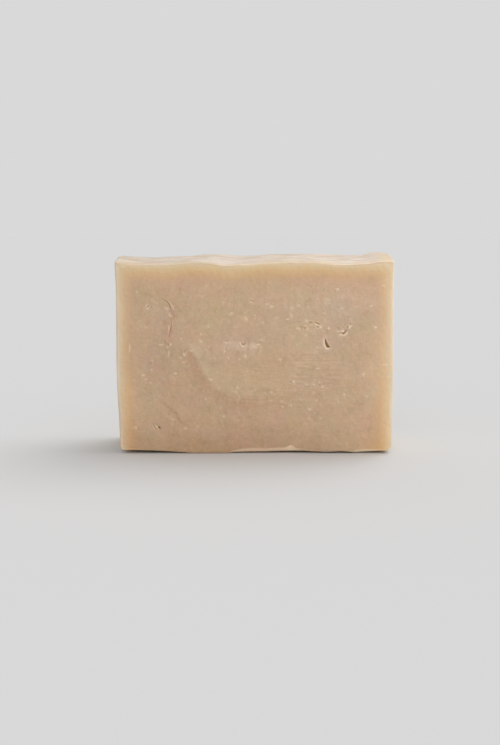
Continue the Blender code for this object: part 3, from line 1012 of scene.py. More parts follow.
@dataclass(frozen=True)
class Zones:
    """Wide soft zones of tone, most of them the soap's own, as the pour left them; some rows are painted
    shade and painted glow, as marked at the table.

    A row of the table is a zone's middle and its half sizes as shares of the face, then how light, how rosy
    and how golden it is. A number under 0 means the opposite.
    """

    sizes: SliceSizes
    # Painted shade: the rows at a height share of 1 and more with less light tone down the key box's
    # highlight on the top edge and the right shoulder; the rows at the foot, darker, rosier and more golden,
    # are painted shade with a warm glow of light bounced up from below.
    table: Table = (
        (0.47, 1, 0.6, 0.012, -1.6, -0.6, -0.5), (0.86, 1, 0.09, 0.012, -1.5, 0, 0),
        (0.99, 1.03, 0.04, 0.022, -2.4, -0.3, 0.5), (0.97, 1, 0.03, 0.015, 0.4, 0.2, 0.3),
        (0.5, 0.97, 0.6, 0.1, -0.3, 1, 1.1), (0.45, 0.965, 0.6, 0.035, -0.2, -0.6, 0.8),
        (0.8, 0.955, 0.22, 0.05, -1.3, 0, 0), (0.47, 0.9, 0.13, 0.04, 0, -1, 0),
        (0.34, 0.68, 0.12, 0.09, 0, -0.6, -0.3), (0.199, 0.725, 0.009, 0.05, -1.6, 1.8, 0),
        (0.188, 0.63, 0.01, 0.04, -0.5, 2.4, 0), (0.76, 0.76, 0.13, 0.1, 0.4, -0.8, -1.6),
        (0.7, 0.58, 0.12, 0.08, 0.1, -0.4, -0.7), (0.47, 0.38, 0.13, 0.1, 0.3, -0.5, 0.6),
        (0.45, 0.03, 0.35, 0.12, -1.9, 0.8, 0.7), (0.3, 0.03, 0.14, 0.06, -0.9, 0, 0.8),
        (0.45, 0.2, 0.2, 0.08, 0.2, 0.9, 0.2), (0.05, 0.06, 0.035, 0.1, -0.5, 1.2, 1.7),
        (0.95, 0.04, 0.05, 0.08, 0, 0.9, 2.2), (0.08, 0.51, 0.05, 0.08, 0.6, 1.1, 0),
        (0.665, 0.56, 0.05, 0.13, 0.9, -0.3, 0), (0.17, 0.55, 0.06, 0.16, -1.2, 0, 0),
        (0.06, 0.28, 0.04, 0.16, 1.2, 0.8, 0.6), (0.14, 0.22, 0.06, 0.1, 0.1, -0.5, 0.3),
        (0.83, 0.66, 0.09, 0.16, -0.9, 0, -0.5), (0.945, 0.4, 0.035, 0.3, 1.4, -0.1, 0),
        (0.91, 0.18, 0.05, 0.1, 0.4, 1.3, 0.4), (0.01, 0.55, 0.02, 0.3, 0.5, 0, -0.9),
        (0.02, 0.12, 0.02, 0.12, 0.4, 0.9, 0), (0.035, 0.27, 0.02, 0.24, 0, 0, 1.3),
        (0.955, 0.22, 0.025, 0.2, 0, 0.3, 1.4), (0.99, 0.12, 0.02, 0.14, 1.1, 0.3, 0.3),
        (0.99, 0.6, 0.03, 0.25, 0.2, 0, -0.8),
    )

    def read(self, x: Numbers, z: Numbers) -> dict[str, Numbers]:
        """Adds up the zones, each a bell curve of the distance in half sizes.

        Args:
            x: X of each place.
            z: Its Z.

        Returns:
            How light, how rosy and how golden the soap is at each place, by name.
        """
        tones = {name: np.zeros(len(x)) for name in ("light", "rosy", "golden")}
        for *zone, light, rosy, golden in self.table:
            there = bell(self.sizes.from_zone(x, z, zone))
            for tone, strength in zip(tones.values(), (light, rosy, golden)):
                tone += strength * there
        return tones


@dataclass
class Surface:
    """The bar's surface as it grows: points with their readings, and faces by their number of corners."""

    points: list[Numbers] = field(default_factory=list)
    faces: list[Numbers] = field(default_factory=list)
    values: dict[str, list[Numbers]] = field(default_factory=dict)
    count: int = 0

    def add_points(self, points: Numbers, **values: Numbers) -> Numbers:
        """Adds points and what is known of each.

        Args:
            points: Rows of X, Y and Z.
            **values: One number for each point, by the reading's name.

        Returns:
            The new points' numbers.
        """
        self.points.append(points)
        for name, numbers in values.items():
            self.values.setdefault(name, []).append(numbers)
        first, self.count = self.count, self.count + len(points)
        return np.arange(first, self.count)

    def to_object(self, name: str) -> Object:
        """Makes the mesh, smooth shaded, and puts it into the scene.

        Args:
            name: The piece's name.

        Returns:
            The piece.
        """
        mesh = bpy.data.meshes.new(name)
        faces = [face for rows in self.faces for face in rows.tolist()]
        mesh.from_pydata(np.concatenate(self.points).tolist(), [], faces)
        for reading, numbers in self.values.items():
            layer = mesh.attributes.new(reading, "FLOAT", "POINT")
            layer.data.foreach_set("value", np.concatenate(numbers).astype(np.float32))
        mesh.validate()
        mesh.shade_smooth()
        return placed(name, mesh)


class Cap(Enum):
    """Which cut face a cap closes."""

    FRONT = 1
    BACK = -1


@dataclass(frozen=True)
class CapGrid:
    """A cut face as a grid inside a section's ring of numbered points, finer in the cells that need it.

    A fine cell's side is split, and ring_step of the finest steps lie between two points of the ring.
    """

    form: SliceForm
    ring: Numbers
    numbers: Numbers
    split: int
    ring_step: int

    @property
    def shape(self) -> tuple[int, int]:
        """The grid's finest steps across and up."""
        return self.form.columns * self.ring_step, self.form.rows * self.ring_step

    def sides(self, rows: Numbers) -> list[Numbers]:
        """Cuts a section's rows into its four sides.

        Args:
            rows: One row for each of its points.

        Returns:
            Foot, right, top and left, each from left to right or upwards.
        """
        across, up = self.form.columns, self.form.rows
        closed = np.concatenate((rows, rows[:1]))
        right = closed[across : across + up + 1]
        top = closed[across + up : 2 * across + up + 1][::-1]
        return [closed[: across + 1], right, top, closed[2 * across + up :][::-1]]

    def flat(self) -> tuple[Numbers, Numbers]:
        """Spreads the grid between the sides.

        Foot and top are mixed by the share of the height, left and right by the share of the width, and the
        mix of the four corners is taken off once.

        Returns:
            X and Z of every finest grid point, as arrays of columns by rows.
        """
        steps = [np.linspace(0, 1, count + 1) for count in self.shape]
        curves = []
        for curve, step in zip(self.sides(self.ring[:, [0, 2]]), (*steps, *steps)):
            known = np.linspace(0, 1, len(curve))
            curves.append(np.stack([np.interp(step, known, curve[:, i]) for i in (0, 1)], 1))
        foot, right, top, left = curves
        u, v = steps[0][:, None, None], steps[1][None, :, None]
        corners = (1 - u) * (1 - v) * foot[0] + u * (1 - v) * foot[-1]
        corners = corners + (1 - u) * v * top[0] + u * v * top[-1]
        mixed = (1 - v) * foot[:, None] + v * top[:, None] + (1 - u) * left[None] + u * right[None] - corners
        return mixed[..., 0], mixed[..., 1]

    def from_edge(self) -> Numbers:
        """How far each finest grid point lies from the nearest side of the section.

        Returns:
            About so many millimetres, as an array of columns by rows.
        """
        across, up = self.shape
        step = self.form.sizes.width / across * 1000
        i, j = np.arange(across + 1), np.arange(up + 1)
        return np.minimum(np.minimum(i, across - i)[:, None], np.minimum(j, up - j)[None]) * step

    def cells(self, fine: Numbers) -> tuple[list[Numbers], Numbers]:
        """Lays the faces: a fine cell is split, and a whole cell takes in its fine neighbours' points.

        Args:
            fine: Whether each whole cell is split, as an array of columns by rows.

        Returns:
            Faces as arrays of grid point numbers, counterclockwise from the front, and all the numbers.
        """
        split = self.split
        across, up = self.shape
        grid = np.arange((across + 1) * (up + 1)).reshape(across + 1, up + 1)
        i, j = np.nonzero(fine)
        steps = np.arange(split)
        x = (i[:, None, None] * split + steps[:, None]).repeat(split, 2).ravel()
        z = (j[:, None, None] * split + steps[None, :]).repeat(split, 1).ravel()
        faces = [np.stack((grid[x, z], grid[x + 1, z], grid[x + 1, z + 1], grid[x, z + 1]), 1)]
        padded = np.pad(fine, 1)
        beside = (padded[1:-1, :-2], padded[2:, 1:-1], padded[1:-1, 2:], padded[:-2, 1:-1])
        pattern = sum(flag.astype(int) << bit for bit, flag in enumerate(beside))
        none, full = 0 * steps, 0 * steps + split
        walks = np.array(((steps, none), (full, steps), (split - steps, full), (none, split - steps)))
        for kind in range(16):
            i, j = np.nonzero(~fine & (pattern == kind))
            walk = [side[:, : split if kind >> bit & 1 else 1] for bit, side in enumerate(walks)]
            dx, dz = np.concatenate(walk, 1)
            faces.append(grid[i[:, None] * split + dx, j[:, None] * split + dz])
        return faces, grid


@dataclass(frozen=True)
class SoapBar:
    """The whole bar as one closed surface.

    Attributes:
        rim_reach: How far in from the mould's skin the rim runs, with inner corners as round as rim_round.
        mark_reach: How far round a mark the face's cells are split.
        crust_reach: How far the crust comes down a cut face.
        torn_and_painted_light_tint: How much lighter, rosier and more golden the broken foot edge is: partly
            torn soap, partly painted light on its facet that faces down.
        foot_burr: How torn the rest of the foot's edge is.
        proudest: How far a cut face may stand out.
        crust_starts: The depths behind the front face between which the crust reaches its full strength.
        right_bare: The shares from the middle between which it returns from the right end.
        torn_starts: The depths between which the torn strip starts, and torn_ends where it ends.
        level_foot: The shares of the width between which the foot's edge is whole, with their eases.
    """

    sizes: SliceSizes = SliceSizes()
    name: str = "soap_bar_surface"
    rim_reach: float = 0.008
    rim_round: float = 0.0012
    mark_reach: float = 0.0006
    face_split: int = 4
    crust_on_edge: float = 0.45
    crust_at_right: float = 0.15
    crust_reach: float = 0.0007
    crust_least: float = 0.0003
    crust_waves: Waves = Waves(length=0.005, count=8, seed=9)
    torn_and_painted_light_tint: tuple[tuple[str, float], ...] = (("light", 4.2), ("rosy", 0.8), ("golden", 0.9))
    torn_and_painted_light_pale: float = 0.9
    foot_burr: float = 0.3
    proudest: float = 0.00015
    crust_starts: tuple[float, float] = (0.0002, 0.0024)
    right_bare: tuple[float, float] = (0.485, 0.435)
    torn_starts: tuple[float, float] = (-0.00015, 0.0001)
    torn_ends: tuple[float, float] = (0.0022, 0.0010)
    level_foot: tuple[tuple[float, float], ...] = ((0.16, 0.24), (0.40, 0.37))

    def under_top(self, x: Numbers, y: Numbers, z: Numbers) -> Numbers:
        """How far each place lies under the poured top.

        Args:
            x: X of each place.
            y: Its Y.
            z: Its Z.

        Returns:
            The distance, straight up.
        """
        sizes = self.sizes
        across = np.clip(x / sizes.width + 0.5, 0, 1)
        depth = np.clip(y + sizes.thickness / 2, 0, sizes.thickness)
        return sizes.height + PouredTop(sizes).rise(across, depth) - z

    def rim(self, points: Numbers) -> Numbers:
        """How far each point lies inside the soap's skin, as a share of rim_reach.

        The distances to both walls and the top are joined by a soft minimum: less the logarithm of the sum
        of their falling exponentials.

        Args:
            points: Rows of X, Y and Z.

        Returns:
            A share between 0 and 1 for each point.
        """
        sizes = self.sizes
        x, y, z = points.T
        x = x - sizes.leaning(z)
        left = sizes.width / 2 + sizes.bulge(sizes.left_bulge, z) + x
        right = sizes.width / 2 + sizes.bulge(sizes.right_bulge, z) - x
        gaps = (left, right, self.under_top(x, y, z))
        near = sum(np.exp(-np.maximum(gap, 0) / self.rim_round) for gap in gaps)
        return np.clip(-self.rim_round * np.log(near) / self.rim_reach, 0, 1)

    def wrapped(self, points: Numbers) -> Numbers:
        """How much of the crust lies on a cut face, as it comes unevenly over the top edge.

        It falls evenly with the distance under the top, over a reach that waves change.

        Args:
            points: Rows of X, Y and Z.

        Returns:
            A share between 0 and 1 for each point.
        """
        x, y, z = points.T
        across = np.clip(x / self.sizes.width + 0.5, 0, 1)
        reach = self.crust_reach * (1 + 0.4 * self.crust_waves.at(x, z))
        sides = at_least(self.crust_at_right, ease(across, 0.985, 0.935)) * ease(across, -0.02, 0.04)
        down = self.under_top(x, y, z) / np.maximum(reach, self.crust_least)
        return self.crust_on_edge * np.clip(1 - down, 0, 1) * sides

    def walls(self, surface: Surface, form: SliceForm) -> tuple[Numbers, Numbers]:
        """Joins the sections into the ends, the top and the foot.

        The crust lies on the top's side and eases out at both its corners, by the front face and at the
        right end. The torn strip lies along the foot's front edge, where it is broken out or has a burr;
        its paleness is partly torn soap and partly painted light where the facet faces down.

        Args:
            surface: The surface, which is added to.
            form: The slice's form.

        Returns:
            The sections' points and their numbers in the surface.
        """
        sections = form.sections()
        count, around = sections.shape[:2]
        flat = sections.reshape(-1, 3)
        depth = flat[:, 1] + self.sizes.thickness / 2
        place = np.tile(np.arange(around), count)
        first, last = form.columns + form.rows, 2 * form.columns + form.rows
        crust = ease(place, first - 1, first + 1) * ease(place, last + 1, last - 1)
        crust *= at_least(self.crust_on_edge, ease(depth, *self.crust_starts))
        from_middle = flat[:, 0] / self.sizes.width
        crust *= at_least(self.crust_at_right, ease(from_middle, *self.right_bare))
        strip = ease(depth, *self.torn_starts) * ease(depth, *self.torn_ends)
        torn = np.where(place <= form.columns, strip, 0)
        across = from_middle + 0.5
        level_from, level_to = self.level_foot
        burr = self.foot_burr * (1 - ease(across, *level_from) * ease(across, *level_to))
        torn *= np.clip(3 * form.foot.broken(across, 2) + burr, 0, 1)
        zero = np.zeros(len(flat))
        tones = Zones(self.sizes).read(flat[:, 0], flat[:, 2])
        for name, change in self.torn_and_painted_light_tint:
            tones[name] = (1 - crust) * tones[name] + change * torn
        numbers = surface.add_points(
            flat, rim=self.rim(flat), crust=crust, pale=self.torn_and_painted_light_pale * torn, dark=zero, swirl=zero,
            chatter=zero, **tones,
        ).reshape(count, around)
        surface.faces.append(between(numbers))
        return sections, numbers

    def close(self, surface: Surface, grid: CapGrid, cap: Cap) -> None:
        """Closes one cut face with its grid, and presses the marks into the front one, less by its edges.

        The cells are fine round the front face's marks, and along the back face's border.

        Args:
            surface: The surface, which is added to.
            grid: The grid between the section's sides.
            cap: Which face it is.
        """
        x, z = grid.flat()
        shape = tuple(steps // grid.split for steps in grid.shape)
        half, front = grid.split // 2, cap is Cap.FRONT
        face = CutFace(self.sizes)
        fine = np.zeros(shape, bool)
        if front:
            middle = np.ix_(*(grid.split * np.arange(count) + half for count in shape))
            fine = face.marked(x[middle].ravel(), z[middle].ravel(), self.mark_reach).reshape(shape)
        fine[[0, -1]] = fine[:, [0, -1]] = not front
        faces, numbered = grid.cells(fine)
        lookup = np.full(numbered.size, -1)
        step = grid.ring_step
        borders = (numbered[::step, 0], numbered[-1, ::step], numbered[::step, -1], numbered[0, ::step])
        for border, ring in zip(borders, grid.sides(grid.numbers)):
            lookup[border] = ring
        used = np.unique(np.concatenate([rows.ravel() for rows in faces]))
        new = used[lookup[used] < 0]
        x, z = x.ravel()[new], z.ravel()[new]
        reading = face.read(x, z, front)
        swirl = Swirl(self.sizes).tone(x, z) if front else np.zeros(len(new))
        chatter = face.chatter_at(x, z) if front else np.full(len(new), face.back_chatter)
        fade = ease(grid.from_edge().ravel()[new], 0.0, 0.9)
        level = -cap.value * self.sizes.thickness / 2
        points = np.stack((x, level + cap.value * np.maximum(reading.sunk, -self.proudest) * fade, z), 1)
        lookup[new] = surface.add_points(
            points, rim=self.rim(points), crust=self.wrapped(points), pale=reading.pale, dark=reading.dark,
            swirl=swirl, chatter=chatter, **Zones(self.sizes).read(x, z),
        )
        surface.faces.extend(lookup[rows][:, :: cap.value] for rows in faces if len(rows))

    def build(self) -> Object:
        """Builds the bar, dresses it and hands it to the frame.

        Returns:
            The finished piece.
        """
        form = SliceForm(self.sizes, PouredTop(self.sizes), CutFoot(self.sizes))
        surface = Surface()
        sections, numbers = self.walls(surface, form)
        split = self.face_split
        self.close(surface, CapGrid(form, sections[0], numbers[0], split, split), Cap.FRONT)
        self.close(surface, CapGrid(form, sections[-1], numbers[-1], 2, 1), Cap.BACK)
        bar = surface.to_object(self.name)
        bar.data.materials.append(SoapFinish().material())
        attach(bar, "root")
        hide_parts("soap_bar")
        return bar


@dataclass(frozen=True)
class Noise:
    """A soft noise, and the range that it is eased into.

    Attributes:
        length: The size of its patches.
        detail: How many finer layers it has, and rough says how strong they are.
        rise: Where the rise starts and ends, and the results there if they aren't 0 and 1.
        warp: How far it is folded.
        stretch: What each direction is multiplied by, before the shift to other patches is added.
    """

    length: float
    detail: float
    rough: float
    rise: tuple[float, ...] = ()
    warp: float = 0.0
    stretch: Triple = (1.0, 1.0, 1.0)
    shift: Triple = (0.0, 0.0, 0.0)


class NodeSheet:
    """The nodes of a material or of the world, joined as they are added."""

    def __init__(self, owner: bpy.types.ID) -> None:
        """Opens the sheet.

        Args:
            owner: The material or the world that it belongs to.
        """
        owner.use_nodes = True
        self.nodes = owner.node_tree.nodes
        self.links = owner.node_tree.links

    def join(self, source: Source, target: Socket) -> None:
        """Links a socket to another, or writes a plain value on it.

        Args:
            source: The socket or the value, a colour without its alpha.
            target: Where it goes.
        """
        if isinstance(source, bpy.types.NodeSocket):
            self.links.new(source, target)
        else:
            target.default_value = (*source, 1.0) if target.type == "RGBA" else source

    def fill(self, node: bpy.types.Node, inputs: Inputs) -> None:
        """Joins what goes into a node's sockets, by their names or numbers."""
        for name, source in inputs.items():
            self.join(source, node.inputs[name])

    def add(self, kind: str, inputs: Inputs, **settings: str) -> bpy.types.Node:
        """Adds a node.

        Args:
            kind: Its kind, without the words that every kind starts with.
            inputs: What goes into its sockets, by their names or numbers.
            **settings: Its own settings.

        Returns:
            The node.
        """
        node = self.nodes.new("ShaderNode" + kind)
        for name, setting in settings.items():
            setattr(node, name, setting)
        self.fill(node, inputs)
        return node


class FinishSheet(NodeSheet):
    """The nodes of one finish."""

    def __init__(self, name: str) -> None:
        """Starts a finish with its shader and its places.

        Args:
            name: The material's name.
        """
        self.material = bpy.data.materials.new(name)
        super().__init__(self.material)
        self.shader = self.nodes["Principled BSDF"]
        self.place = self.add("TexCoord", {}).outputs["Object"]

    def reading(self, name: str) -> Socket:
        """A reading that the surface carries at its points."""
        return self.add("Attribute", {}, attribute_name=name).outputs["Fac"]

    def calc(self, operation: str, first: Source, second: Source) -> Socket:
        """A sum on two numbers, as the node names it."""
        return self.add("Math", {0: first, 1: second}, operation=operation).outputs[0]

    def noise(self, noise: Noise) -> Socket:
        """A soft noise, between 0 and 1 unless its rise says otherwise.

        Args:
            noise: What it is like.

        Returns:
            The noise.
        """
        inputs = {0: self.place, 1: noise.stretch, 2: noise.shift}
        place = self.add("VectorMath", inputs, operation="MULTIPLY_ADD").outputs[0]
        shape = {"Scale": 1 / noise.length, "Detail": noise.detail, "Roughness": noise.rough}
        cloud = self.add("TexNoise", {"Vector": place, "Distortion": noise.warp, **shape}).outputs["Fac"]
        return self.step(cloud, *noise.rise) if noise.rise else cloud

    def step(self, value: Socket, low: float, high: float, bottom: float = 0.0, top: float = 1.0) -> Socket:
        """Eases a number from the range between low and high into the one between bottom and top."""
        inputs = {"Value": value, "From Min": low, "From Max": high, "To Min": bottom, "To Max": top}
        return self.add("MapRange", inputs, interpolation_type="SMOOTHSTEP").outputs["Result"]

    def specks(self, spacing: float, radius: float, left_out: float, shift: Triple = (0, 0, 0)) -> Socket:
        """Small ragged specks strewn through the soap, so that a cut shows slices of them.

        Args:
            spacing: The mean distance between them.
            radius: Their radius.
            left_out: What share of them is left out.
            shift: How far they are moved.

        Returns:
            1 in the middle of a speck, and 0 outside them all.
        """
        place = self.add("VectorMath", {0: self.place, 1: shift}).outputs[0]
        cells = self.add("TexVoronoi", {"Vector": place, "Scale": 1 / spacing})
        reach = 0.55 * radius / spacing
        ragged = self.noise(Noise(1.3 * radius, 2.0, 0.6, (0.2, 0.8, -reach, reach)))
        distance = self.calc("ADD", cells.outputs["Distance"], ragged)
        spot = self.step(distance, radius / spacing, 0.3 * radius / spacing)
        kept = self.add("SeparateColor", {0: cells.outputs["Color"]}).outputs[0]
        return self.calc("MULTIPLY", spot, self.step(kept, left_out, min(left_out + 0.35, 1.0)))

    def mix(self, share: Source, first: Source, second: Source) -> Socket:
        """Mixes two colours by a share between 0, the first, and 1, the second."""
        return self.add("Mix", {0: share, 6: first, 7: second}, data_type="RGBA").outputs[2]

    def cover(self, colour: Socket, layers: tuple[tuple[Socket, Triple], ...]) -> Socket:
        """Lays tones over a colour, one after the other.

        Args:
            colour: The colour.
            layers: Each tone after the share that it covers.

        Returns:
            The covered colour.
        """
        for share, tone in layers:
            colour = self.mix(share, colour, tone)
        return colour

    def tinted(self, colour: Socket, tints: tuple[tuple[str, Triple], ...]) -> Socket:
        """Multiplies a colour by one plus the sum of some readings, each times its own change.

        Args:
            colour: The colour.
            tints: The readings' names, each with the change that a reading of 1 makes.

        Returns:
            The tinted colour.
        """
        factor = (1.0, 1.0, 1.0)
        for name, change in tints:
            inputs = {0: self.reading(name), 1: change, 2: factor}
            factor = self.add("VectorMath", inputs, operation="MULTIPLY_ADD").outputs[0]
        return self.add("VectorMath", {0: colour, 1: factor}, operation="MULTIPLY").outputs[0]

    def tones(self, value: Socket, stops: tuple[tuple[float, Triple], ...]) -> Socket:
        """Reads a row of colours.

        Args:
            value: Where it is read, from 0 to 1.
            stops: Each colour after its place.

        Returns:
            The colour.
        """
        node = self.add("ValToRGB", {0: value})
        node.color_ramp.interpolation = "EASE"
        for index, (place, colour) in enumerate(stops):
            elements = node.color_ramp.elements
            element = elements[index] if index < 2 else elements.new(place)
            element.position = place
            element.color = (*colour, 1.0)
        return node.outputs["Color"]


@dataclass(frozen=True)
class SoapFinish:
    """Cured loaf soap: a rose-grey core with swirls and specks, an amber rim that is partly painted glow of
    light through the edges, and a pale dry crust on top.
    """

    rose: Triple = (0.64, 0.41, 0.276)
    moss: Triple = (0.56, 0.432, 0.27)
    warm: Triple = (0.612, 0.43, 0.248)
    cool: Triple = (0.6, 0.42, 0.304)
    deep: Triple = (0.5, 0.342, 0.215)
    clay: Triple = (0.552, 0.356, 0.228)
    pale: Triple = (0.692, 0.5, 0.334)
    sage: Triple = (0.648, 0.505, 0.335)
    skin: Triple = (0.775, 0.64, 0.465)
    amber_skin: Triple = (0.715, 0.55, 0.36)
    bloom: Triple = (0.835, 0.72, 0.56)
    cream: Triple = (0.772, 0.628, 0.45)
    honey: Triple = (0.732, 0.562, 0.356)
    amber: Triple = (0.71, 0.502, 0.3)
    gold: Triple = (0.684, 0.462, 0.272)
    tan: Triple = (0.655, 0.434, 0.28)
    # Pale torn soap on lips, smears, flecks and the foot's broken edge; on lips and on the foot's down-facing
    # facet it also stands for painted light.
    torn: Triple = (0.875, 0.705, 0.522)
    fleck: Triple = (0.8, 0.64, 0.475)
    # Partly the deeper colour in cracks and holes, partly painted shade there.
    hollow: Triple = (0.45, 0.272, 0.105)
    ash: Triple = (0.752, 0.64, 0.537)
    ash_bare: Triple = (0.655, 0.52, 0.39)
    ash_white: Triple = (0.825, 0.72, 0.612)
    lighter: Triple = (0.05, 0.055, 0.06)
    rosier: Triple = (0.02, -0.025, 0.0)
    goldener: Triple = (0.01, 0.0, -0.06)
    patches: Noise = Noise(0.008, 4.0, 0.6, (0.3, 0.7), 0.5)
    warmth: Noise = Noise(0.009, 4.0, 0.6, (0.3, 0.7), 0.3, shift=(0.031, 0.017, 0.043))
    swirl_edge: Noise = Noise(0.0024, 3.0, 0.6, (0.2, 0.8, -0.14, 0.14))
    pale_lumps: Noise = Noise(0.0028, 4.0, 0.62, (0.5, 0.78, 0.0, 0.72), 0.25)
    deep_lumps: Noise = Noise(0.0028, 4.0, 0.62, (0.5, 0.24, 0.0, 0.66), 0.25)
    flakes: Noise = Noise(0.0021, 2.5, 0.6, (0.62, 0.69), 0.4, shift=(0.057, 0.013, 0.091))
    pale_crumbs: Noise = Noise(0.00075, 3.0, 0.6, (0.52, 0.75, 0.0, 0.5), shift=(0.011, 0.071, 0.029))
    deep_crumbs: Noise = Noise(0.00075, 3.0, 0.6, (0.48, 0.25, 0.0, 0.42), shift=(0.011, 0.071, 0.029))
    chatter: Noise = Noise(0.0011, 2.0, 0.6, (0.3, 0.7, -1.0, 1.0), 0.3, (0.22, 1.0, 1.8))
    skin_drifts: Noise = Noise(0.0065, 4.0, 0.62, (0.4, 0.68, 0.0, 0.8), 0.4)
    skin_drag: Noise = Noise(0.0012, 2.0, 0.6, (0.5, 0.78, 0.0, 0.55), stretch=(1.0, 0.16, 1.0))
    skin_bloom: Noise = Noise(0.0016, 4.0, 0.65, (0.54, 0.76, 0.0, 0.5), shift=(0.023, 0.061, 0.017))
    top_bloom: Noise = Noise(0.0034, 3.0, 0.6, (0.38, 0.62), stretch=(0.22, 0.9, 1.0))
    top_streaks: Noise = Noise(0.001, 2.0, 0.5, (0.52, 0.72, 0.0, 0.7), stretch=(0.12, 0.8, 1.0))
    rim_wander: Noise = Noise(0.006, 4.0, 0.6, (0.2, 0.8, -0.07, 0.07))
    roughness: Noise = Noise(0.003, 3.0, 0.6, (0.3, 0.7, 0.46, 0.6))
    lump_relief: Noise = Noise(0.0016, 3.0, 0.6)
    grain_relief: Noise = Noise(0.0006, 3.0, 0.6)
    crust_relief: Noise = Noise(0.0008, 4.0, 0.7)
    pores: Triple = (0.003, 0.00022, 0.5)
    large_specks: Triple = (0.0036, 0.00042, 0.45)
    small_specks: Triple = (0.0017, 0.00024, 0.55)
    # Painted shadow beside the large specks: a darker copy of them, moved this far, as if they stood out
    # under light from the upper right.
    speck_shade: Triple = (0.0004, 0.0, 0.00018)
    crust_roughness: float = 0.22
    relief_depth: float = 0.0001
    subsurface: float = 0.35
    subsurface_scale: float = 0.0012
    subsurface_radius: Triple = (1.0, 0.55, 0.3)
    gloss: float = 0.35

    def core(self, sheet: FinishSheet, chatter: Socket) -> Socket:
        """The core's colour: patches of four tones, the swirl, lumps, flakes, crumbs and chatter lines.

        Args:
            sheet: The finish's nodes.
            chatter: The chatter lines, from -1 to 1.

        Returns:
            The colour.
        """
        patches = sheet.mix(sheet.noise(self.patches), self.rose, self.moss)
        colour = sheet.mix(0.5, patches, sheet.mix(sheet.noise(self.warmth), self.warm, self.cool))
        swirl = sheet.calc("ADD", sheet.reading("swirl"), sheet.noise(self.swirl_edge))
        return sheet.cover(colour, (
            (sheet.step(swirl, 0.05, 1.1), self.sage),
            (sheet.step(swirl, -0.05, -1.1), self.clay),
            (sheet.noise(self.pale_lumps), self.pale),
            (sheet.noise(self.deep_lumps), self.deep),
            (sheet.calc("MULTIPLY", sheet.noise(self.flakes), 0.45), self.pale),
            (sheet.noise(self.pale_crumbs), self.pale),
            (sheet.noise(self.deep_crumbs), self.deep),
            (sheet.step(chatter, 0.0, 1.0, 0.0, 0.40), self.pale),
            (sheet.step(chatter, 0.0, -1.0, 0.0, 0.40), self.deep),
        ))

    def skinned(self, sheet: FinishSheet, colour: Socket) -> Socket:
        """Lays the amber rim over the core, and on its outside the mould's drifts, drag, bloom and pores. The
        rim's tones are partly the cured rind's own colour and partly painted glow of light shining through
        the soap's edges, palest at the very edge.

        Args:
            sheet: The finish's nodes.
            colour: The core's colour.

        Returns:
            The colour.
        """
        depth = sheet.reading("rim")
        wander = sheet.calc("MULTIPLY", sheet.noise(self.rim_wander), sheet.step(depth, 0.0, 0.4, 0.15, 1.0))
        rim = sheet.calc("ADD", depth, wander)
        # Rim tones, palest at the skin: the rind's own colour with painted glow of light shining through the
        # edges.
        stops = (
            (0.0, self.skin), (0.075, self.cream), (0.19, self.honey), (0.34, self.amber), (0.50, self.gold),
            (0.60, self.tan),
        )
        colour = sheet.mix(sheet.step(rim, 0.95, 0.24), colour, sheet.tones(rim, stops))
        skin = sheet.step(depth, 0.05, 0.0)
        shares = [sheet.noise(noise) for noise in (self.skin_drifts, self.skin_drag, self.skin_bloom)]
        tones = (self.amber_skin, self.amber_skin, self.bloom, self.deep)
        # The pores are dark dots without relief: painted shade of tiny bubble pits in the mould skin.
        on_skin = [sheet.calc("MULTIPLY", share, skin) for share in (*shares, sheet.specks(*self.pores))]
        return sheet.cover(colour, tuple(zip(on_skin, tones)))

    def topping(self, sheet: FinishSheet) -> Socket:
        """The crust's colour: pale ash over barer soap, with white streaks along the pour."""
        ash = sheet.mix(sheet.noise(self.top_bloom), self.ash_bare, self.ash)
        return sheet.mix(sheet.noise(self.top_streaks), ash, self.ash_white)

    def relief(self, sheet: FinishSheet, specks: Socket, crust: Socket, chatter: Socket) -> Socket:
        """The bump of the surface: lumps, waxy grain, chatter lines, specks, flakes and the crust's crumbs.

        Args:
            sheet: The finish's nodes.
            specks: Where the specks are.
            crust: Where the crust is.
            chatter: The chatter lines.

        Returns:
            The bumped normal.
        """
        height = 0.0
        for layer, strength in (
            (sheet.noise(self.lump_relief), 1.1),
            (sheet.noise(self.grain_relief), 0.55),
            (chatter, 0.20),
            (specks, 0.35),
            (sheet.noise(self.flakes), 0.35),
            (sheet.calc("MULTIPLY", sheet.noise(self.crust_relief), crust), 0.8),
        ):
            height = sheet.calc("ADD", sheet.calc("MULTIPLY", layer, strength), height)
        inputs = {"Strength": 0.8, "Distance": self.relief_depth, "Height": height}
        return sheet.add("Bump", inputs).outputs["Normal"]

    def material(self) -> bpy.types.Material:
        """Builds the finish.

        Returns:
            The material.
        """
        sheet = FinishSheet("cured_loaf_soap")
        chatter = sheet.calc("MULTIPLY", sheet.noise(self.chatter), sheet.reading("chatter"))
        colour = self.skinned(sheet, self.core(sheet, chatter))
        specks = sheet.calc("MAXIMUM", sheet.specks(*self.large_specks), sheet.specks(*self.small_specks))
